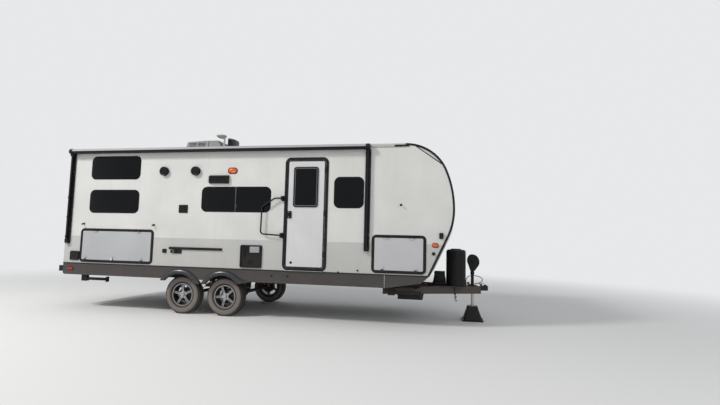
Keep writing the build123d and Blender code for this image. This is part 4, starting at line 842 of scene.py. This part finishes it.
# The skirts: dark grey aluminium sheet, screwed to the outriggers along both edges, with a pale
# joint cover towards the nose and small drain and hook fittings.
skirt_grey = finish(
    "skirt_sheet", colour(55, 51, 51), 0.42, dust=0.06, streaks=0.06, low=0.6, high=0.95, grain=90
)
paint(skirt_grey, "skirts")
sheet_face = outer_y + 0.0002
fender_run = (-1.95, 0.10)
skirt_screws = bmesh.new()
covers = bmesh.new()
for side in (-1, 1):
    y = side * sheet_face
    for x in spaced(-3.80, 2.20, 16):
        if not fender_run[0] < x < fender_run[1]:
            screws(skirt_screws, [(x, y, 0.655), (x, y, 0.828)], (0, side, 0), 0.0045)
    y0, y1 = mirrored(side, outer_y - 0.001, outer_y + 0.0025)
    slab(covers, (2.330, y0, 0.640), (2.338, y1, 0.846), 0.001)
piece("skirt_screws", skirt_screws, steel_screw)
piece("joint_covers", covers, bare_aluminium)
hook_base = [(0, 0), (0.016, 0), (0.016, 0.003), (0.006, 0.005), (0, 0.006)]
hooks = bmesh.new()
for x, z in ((0.36, 0.76), (0.655, 0.76), (1.545, 0.862)):
    turned(hooks, hook_base, (x, -outer_y, z), "-Y")
    bar(hooks, (x, -1.222, z), (x, -1.244, z), 0.004)
    bar(hooks, (x, -1.242, z - 0.001), (x, -1.242, z + 0.018), 0.004)
piece("skirt_hooks", hooks, satin_black)


# The fenders: two joined arches on each side over the wheels, moulded in dark grey plastic with a
# convex satin face, and bonded under the skirt's edge.
fender_wear = {"dust": 0.05, "low": 0.5, "high": 0.9, "grain": 120}
fender_plastic = finish("fender_plastic", colour(36, 38, 42), 0.27, **fender_wear)
paint(fender_plastic, "fenders")


# The running gear: black painted axles and rails on multi-leaf springs. U-bolts clamp each
# stack to its axle seat, and shackle bolts with lock nuts carry its eyes and the rocker.
frame_paint = finish(
    "frame_paint", colour(24, 24, 26), 0.5, dust=0.12, low=0.3, high=0.9, grain=120, **faint_gloss
)
spring_steel = finish(
    "spring_steel", colour(58, 56, 54), 0.48, dust=0.3, grain=150, bump=0.12, Metallic=0.7
)
zinc = finish("zinc_plate", colour(170, 170, 165), 0.35, dust=0.15, Metallic=0.9)
paint(frame_paint, "chassis_frame", "crossmembers", "frame_brackets", "axles", "bumper", "coupler")
paint(frame_paint, *(name for name in nodes if name.startswith("stand_")))
paint(spring_steel, "leaf_springs", "safety_chains")
axles_x = {"front": -0.561, "rear": -1.399}
spring_y = 0.8
clamp_z = (0.436, 0.444)
bolts = bmesh.new()
for side in (-1, 1):
    rail_y = side * spring_y
    for axle_x in axles_x.values():
        low = (axle_x - 0.062, rail_y - 0.042, clamp_z[0])
        high = (axle_x + 0.062, rail_y + 0.042, clamp_z[1])
        slab(bolts, low, high)
        for x in (axle_x - 0.046, axle_x + 0.046):
            for y in (rail_y - 0.030, rail_y + 0.030):
                bar(bolts, (x, y, 0.350), (x, y, clamp_z[1] + 0.018), 0.0065, 10)
                bar(bolts, (x, y, clamp_z[1]), (x, y, clamp_z[1] + 0.011), 0.0125, 6)
    for x, z in ((-0.241, 0.500), (-1.719, 0.500), (-0.980, 0.562)):
        for face in (-1, 1):
            spot = Vector((x, rail_y + face * 0.030, z))
            bar(bolts, spot, spot + Vector((0, face * 0.011, 0)), 0.016, 6)
piece("spring_bolts", bolts, zinc)


# The wheels: black radial tyres with moulded tread blocks and dusty sidewalls, on cast rims.
# Five spokes have machined faces with a dark groove; the pockets and the barrel are dark.
tyre_r = 0.344
wheel_y = 1.017
spoke_face = wheel_y + 0.0585
lip_face = wheel_y + 0.070
spoke_angle = {"front_door": 40.0, "rear_door": 23.0, "front_off": 36.0, "rear_off": 36.0}
spoke_step = math.radians(360 / 5)
tread_face = tyre_r - 0.007
tread_half = 0.074
tyre_black = colour(42, 39, 38)
sidewall_dusty = colour(116, 109, 106)
rim_dark = colour(30, 30, 32)
rim_silver = colour(176, 176, 180)
tyre_outline = [
    (0.2020, -0.076), (0.2060, -0.084), (0.2160, -0.088), (0.2200, -0.093), (0.2240, -0.093),
    (0.2300, -0.096), (0.2600, -0.101), (0.2640, -0.1025), (0.2700, -0.1005), (0.2960, -0.099),
    (0.2990, -0.0965), (0.3100, -0.095), (0.3240, -0.090), (0.3320, -0.082),
    (tread_face, -tread_half),
]
far_half = [(radius, -y) for radius, y in reversed(tyre_outline)]
tyre_outline += [(tread_face, y) for y in (-0.0445, -0.0150, 0.0150, 0.0445)] + far_half


def centred(material, x, z):
    """Distance from an axle's line, and the angle about it, on one wheel's surface."""
    tree = material.node_tree
    across = plus(tree, where(material, "X"), -x)
    up = plus(tree, where(material, "Z"), -z)
    squares = plus(tree, times(tree, across, across), times(tree, up, up))
    return maths(tree, "POWER", squares, 0.5), maths(tree, "ARCTAN2", up, across)


def tyre_material(end):
    """Tyre rubber: dust on the sidewall's outer half, a dark band at the bead as painted shade,
    worn tread.
    """
    material = finish(f"tyre_rubber_{end}", tyre_black, 0.8, high=0.7, grain=260, bump=0.2)
    tree = material.node_tree
    radius, _ = centred(material, axles_x[end], tyre_r)
    # dust only between the bead and the tread; the dark band at the bead is painted shade next to
    # the rim
    wall = times(tree, spread(tree, radius, 0.228, 0.250), spread(tree, radius, 0.324, 0.300))
    aged_colour(material, blend_colours(tree, wall, tyre_black, sidewall_dusty))
    return material


def rim_material(wheel):
    """Cast alloy: silver on the spokes' faces, nuts, cap and lip, dark elsewhere."""
    end = wheel.split("_")[0]
    material = finish(f"rim_{wheel}", rim_dark, 0.3, high=0.6)
    tree = material.node_tree
    radius, angle = centred(material, axles_x[end], tyre_r)
    depth = maths(tree, "ABSOLUTE", where(material, "Y"))
    first = math.radians(spoke_angle[wheel])
    turns = plus(tree, angle, math.tau - first + spoke_step / 2)
    folded = plus(tree, maths(tree, "FLOORED_MODULO", turns, spoke_step), -spoke_step / 2)
    aside = times(tree, maths(tree, "ABSOLUTE", folded), radius)
    face = spread(tree, depth, spoke_face, spoke_face + 0.001)
    groove = times(tree, spread(tree, aside, 0.0065, 0.0055), spread(tree, radius, 0.075, 0.078))
    ridge = plus(tree, spread(tree, aside, 0.0175, 0.0165), times(tree, groove, -0.85))
    spoke = times(tree, face, ridge, spread(tree, radius, 0.186, 0.184))
    hub = times(tree, face, spread(tree, radius, 0.067, 0.065))
    outer = spread(tree, radius, 0.190, 0.192)
    lip = times(tree, outer, spread(tree, depth, lip_face, lip_face + 0.002))
    bright = maths(tree, "ADD", plus(tree, spoke, hub), lip, use_clamp=True)
    aged_colour(material, blend_colours(tree, bright, rim_dark, rim_silver))
    tree.links.new(bright, tree.nodes["Principled BSDF"].inputs["Metallic"])
    return material


def on_tread(face, centre):
    """Whether a face of a tyre lies on its tread."""
    spot = face.calc_center_median() - centre
    return math.hypot(spot.x, spot.z) > tread_face - 0.001 and abs(spot.y) < tread_half


valve_circle = 0.178
tyre_rubbers = {end: tyre_material(end) for end in axles_x}
for wheel, angle in spoke_angle.items():
    end, side_name = wheel.split("_")
    side = -1 if side_name == "door" else 1
    paint(rim_material(wheel), f"rim_{wheel}")
    centre = Vector((axles_x[end], side * wheel_y, tyre_r))
    casing = bmesh.new()
    turned(casing, tyre_outline, centre, "Y", 76)
    tread = [face for face in casing.faces if on_tread(face, centre)]
    bmesh.ops.recalc_face_normals(casing, faces=casing.faces)
    bmesh.ops.inset_individual(casing, faces=tread, thickness=0.0028, depth=0.0065)
    tyre = piece(f"tyre_{wheel}_tread", casing, tyre_rubbers[end], f"wheel_{wheel}", 25)
    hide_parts(f"tyre_{wheel}")
    valve = bmesh.new()
    turn = math.radians(angle) + spoke_step / 2
    valve_foot = centre + Vector((math.cos(turn), 0, math.sin(turn))) * valve_circle
    outward = Vector((0, side, 0))
    bar(valve, valve_foot + outward * 0.060, valve_foot + outward * 0.090, 0.0055, 12, 0.8)
    bar(valve, valve_foot + outward * 0.089, valve_foot + outward * 0.097, 0.0052)
    piece(f"valve_{wheel}", valve, black_rubber, f"wheel_{wheel}")


# The roof units: a louvred cooler in two mouldings, a smoked vent cover on a hinge and two low
# vents with domed lids, screwed down through their flanges, and a dish aerial on its post.
roof_wear = {"low": 3.6, "high": 3.0, "grain": 220}
cooler_plastic = finish("cooler_plastic", colour(116, 116, 117), 0.55, bump=0.08, **roof_wear)
smoked_plastic = finish("smoked_plastic", colour(16, 21, 30), 0.3, 0.02, bump=0.05, **roof_wear)
cream_plastic = finish("cream_plastic", colour(166, 168, 161), 0.45, 0.15, bump=0.05, **roof_wear)
paint(cooler_plastic, "air_conditioner")
post_foot = [
    (0.0, 0.0), (0.055, 0.0), (0.055, 0.020), (0.036, 0.042), (0.023, 0.050), (0.023, 0.060),
    (0.0, 0.060),
]
bowl = [
    (0.0, 0.0), (0.048, 0.0), (0.082, 0.018), (0.102, 0.040), (0.100, 0.052), (0.090, 0.058),
    (0.0, 0.062),
]
aerial = bmesh.new()
turned(aerial, post_foot, aerial_foot)
post_low, post_high = (aerial_foot + Vector((0, 0, rise)) for rise in (0.044, 0.304))
bar(aerial, post_low, post_high, 0.019, 24)
turned(aerial, bowl, aerial_foot + Vector((-0.065, 0, 0.291)), steps=48)
aerial_head = piece("aerial_head", aerial, cream_plastic)
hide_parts("aerial")
vents = bmesh.new()
for x0, x1, y0, y1 in low_vent_feet:
    # inset from the foot, z from and to, corner radius, edge
    for inset, z0, z1, radius, edge in (
        (0.0, 3.106, 3.120, 0.02, 0.003),
        (0.030, 3.118, 3.150, 0.03, 0.004),
        (0.015, 3.148, 3.180, 0.05, 0.014),
    ):
        low, high = (x0 + inset, y0 + inset, z0), (x1 - inset, y1 - inset, z1)
        plate(vents, low, high, radius, "Z", edge=edge)
low_vents = piece("low_vents", vents, cream_plastic)
cover = bmesh.new()
x0, x1, y0, y1 = hood_foot
plate(cover, (x0, y0, 3.104), (x1, y1, 3.118), 0.02, "Z", edge=0.003)
hood_size = (0.17, 0.22, 0.32)
hood_slope = 0.75
hood = bmesh.new()
bmesh.ops.create_cube(hood, size=1, matrix=Matrix.Diagonal((*hood_size, 1)))
for vert in hood.verts:
    if vert.co.x > 0 and vert.co.z > 0:
        vert.co.z *= hood_slope
rounded(hood, hood.edges[:], 0.034, 4)
bmesh.ops.translate(hood, vec=(-0.985, -0.22, 3.272), verts=hood.verts)
join(cover, hood)
for y in (-0.345, -0.095):
    bar(cover, (-1.00, y, 3.122), (-0.86, y, 3.122), 0.006)
vent_hood = piece("vent_hood", cover, smoked_plastic)
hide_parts("roof_vents")
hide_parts("roof_vents")
roof_heads = bmesh.new()
for x0, x1, y0, y1 in (*low_vent_feet, hood_foot):
    for x in spaced(x0 + 0.012, x1 - 0.012, 4):
        screws(roof_heads, [(x, y0 - 0.012, 3.113), (x, y1 + 0.012, 3.113)], (0, 0, 1))
piece("roof_screws", roof_heads, steel_screw)


# The tongue: the A-frame is dark brown, its black paint under dust with a painted reflection of
# the ground. The gas bottles stand under a black moulded cover, the battery lies in a smaller
# cover with a strap over it, and the power jack has a round head over its post. A low black box
# hangs behind the skirt.
# dark brown: dust on black paint, with a painted reflection of the ground
tongue_dust_and_reflection = finish(
    "tongue_dust_and_reflection", colour(62, 51, 47), 0.5, dust=0.1, low=0.3, high=0.9, grain=120, bump=0.08
)
paint(tongue_dust_and_reflection, "tongue_frame")
cover_plastic = finish(
    "cover_plastic", colour(9, 9, 11), 0.5, dust=0.02, low=0.6, high=1.3, grain=350, **faint_gloss
)
paint(cover_plastic, "gas_cover", "jack_foot", "tongue_jack")
paint(zinc, "jack_leg")
low_box = bmesh.new()
slab(low_box, (2.500, -0.700, 0.405), (2.930, -0.400, 0.494), 0.006)
slab(low_box, (2.490, -0.704, 0.470), (2.940, -0.396, 0.486), 0.003)
for x in (2.56, 2.87):
    slab(low_box, (x - 0.02, -0.706, 0.420), (x + 0.02, -0.699, 0.480), 0.002)
piece("tongue_box", low_box, satin_black)
tray = bmesh.new()
plate(tray, (3.080, -0.215, 0.628), (3.318, 0.215, 0.690), 0.03, "Z", edge=0.010)
plate(tray, (3.095, -0.200, 0.690), (3.317, 0.200, 0.735), 0.03, "Z", edge=0.010)
piece("battery_tray", tray, cover_plastic)
case_size = (0.236, 0.36, 0.216)
case_taper = (0.76, 0.92)
battery_case = bmesh.new()
bmesh.ops.create_cube(battery_case, size=1, matrix=Matrix.Diagonal((*case_size, 1)))
for vert in battery_case.verts:
    if vert.co.z > 0:
        vert.co.x *= case_taper[0]
        vert.co.y *= case_taper[1]
rounded(battery_case, battery_case.edges[:], 0.016, 3)
bmesh.ops.translate(battery_case, vec=(3.204, 0, 0.750), verts=battery_case.verts)
battery = bmesh.new()
join(battery, battery_case)
plate(battery, (3.106, -0.176, 0.836), (3.302, 0.176, 0.868), 0.028, "Z", edge=0.009)
battery_cover = piece("battery_cover", battery, cover_plastic)
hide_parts("battery_box")
strap_x = 3.204
strap_half = 0.019
# aside from the strap's middle line, height
strap_rise = ((0.1205, 0.660), (0.0995, 0.852), (0.0930, 0.8695))
strap_run = [(strap_x - aside, z) for aside, z in strap_rise]
strap_run += [(strap_x + aside, z) for aside, z in reversed(strap_rise)]
strap = bmesh.new()
strap_edges = [
    [strap.verts.new((x, y, z)) for y in (-strap_half, strap_half)] for x, z in strap_run
]
for near, far in zip(strap_edges, strap_edges[1:]):
    strap.faces.new((near[0], near[1], far[1], far[0]))
bmesh.ops.solidify(strap, geom=strap.faces[:], thickness=0.002)
piece("battery_strap", strap, black_rubber)
lever = bmesh.new()
slab(lever, (3.955, -0.016, 0.672), (4.020, 0.016, 0.684), 0.003)
bar(lever, (3.962, -0.022, 0.668), (3.962, 0.022, 0.668), 0.006)
for y in (-0.055, 0.055):
    for x in (3.735, 3.865):
        bar(lever, (x, y, 0.664), (x, y, 0.676), 0.010, 6)
piece("coupler_lever", lever, zinc)
switch = bmesh.new()
plate(switch, (3.782, -0.0775, 1.040), (3.846, -0.0735, 1.110), 0.010, edge=0.001)
slab(switch, (3.806, -0.0820, 1.058), (3.822, -0.0765, 1.082), 0.003)
piece("jack_switch", switch, black_rubber)


# The floor: a board deck over the chassis, seen in the doorways. Its edges and its underside are
# sealed with black coated sheet.
board_brown = colour(120, 100, 78)
deck_z = 0.8490
floor_board = finish("floor_board", board_brown, 0.6, dust=0.1, low=0.8, high=1.0, grain=80)
deck_top = spread(floor_board.node_tree, where(floor_board, "Z"), deck_z, deck_z + 0.0005)
wood = blend_colours(floor_board.node_tree, deck_top, near_black, board_brown)
aged_colour(floor_board, wood)
paint(floor_board, "floor")


# The studio: a pale floor that runs out into a plain pale background, an even sky, and one large
# soft lamp high on the left, over the rear end, with a weak fill from the right.
backdrop_white = (0.80, 0.81, 0.82, 1)
floor_grey = (0.78, 0.78, 0.775, 1)
sky_light = (0.95, 0.97, 1.0, 1)


def straight_rays(tree):
    """1 for rays from the camera, from a glossy surface or through glass."""
    rays = shader(tree, "LightPath").outputs
    return plus(tree, rays["Is Camera Ray"], rays["Is Glossy Ray"], rays["Is Transmission Ray"])


disc_mesh = bmesh.new()
bmesh.ops.create_circle(disc_mesh, cap_ends=True, segments=96, radius=60)
ground = bpy.data.meshes.new("studio_floor")
disc_mesh.to_mesh(ground)
disc_mesh.free()
studio_floor = placed("studio_floor", ground)
floor_paint = bpy.data.materials.new("floor_paint")
floor_paint.use_nodes = True
tree = floor_paint.node_tree
matt = tree.nodes["Principled BSDF"]
matt.inputs["Base Color"].default_value = floor_grey
matt.inputs["Roughness"].default_value = 0.9
place = shader(tree, "TexCoord").outputs["Object"]
reach = shader(tree, "VectorMath", {0: place}, operation="LENGTH").outputs["Value"]
away = shader(tree, "Emission", {"Color": backdrop_white, "Strength": 1.0})
share = times(tree, spread(tree, reach, 6.0, 15.0), straight_rays(tree))
ends = {0: share, 1: matt.outputs[0], 2: away.outputs[0]}
mixed = shader(tree, "MixShader", ends).outputs[0]
tree.links.new(mixed, tree.nodes["Material Output"].inputs["Surface"])
ground.materials.append(floor_paint)

world = bpy.data.worlds.new("sky")
scene.world = world
world.use_nodes = True
tree = world.node_tree
lit = tree.nodes["Background"]
lit.inputs["Color"].default_value = sky_light
lit.inputs["Strength"].default_value = 0.47
seen = shader(tree, "Background", {"Color": backdrop_white, "Strength": 1.0})
ends = {0: straight_rays(tree), 1: lit.outputs[0], 2: seen.outputs[0]}
mixed = shader(tree, "MixShader", ends).outputs[0]
tree.links.new(mixed, tree.nodes["World Output"].inputs["Surface"])


def lamp(name, place, aim, size, power, tint=(1, 1, 1)):
    """A square soft lamp that looks at a point."""
    data = bpy.data.lights.new(name, "AREA")
    data.size = size
    data.energy = power
    data.color = tint
    made = placed(name, data)
    turn = (Vector(aim) - Vector(place)).to_track_quat("-Z", "Y").to_matrix().to_4x4()
    made.matrix_world = Matrix.Translation(place) @ turn


lamp("key", (-9.0, -9.0, 11.0), (-0.3, -1.2, 1.5), 2.4, 1500, (1.0, 0.98, 0.95))
lamp("fill", (9.0, -12.0, 6.0), (0.5, -1.0, 1.5), 7.0, 330)
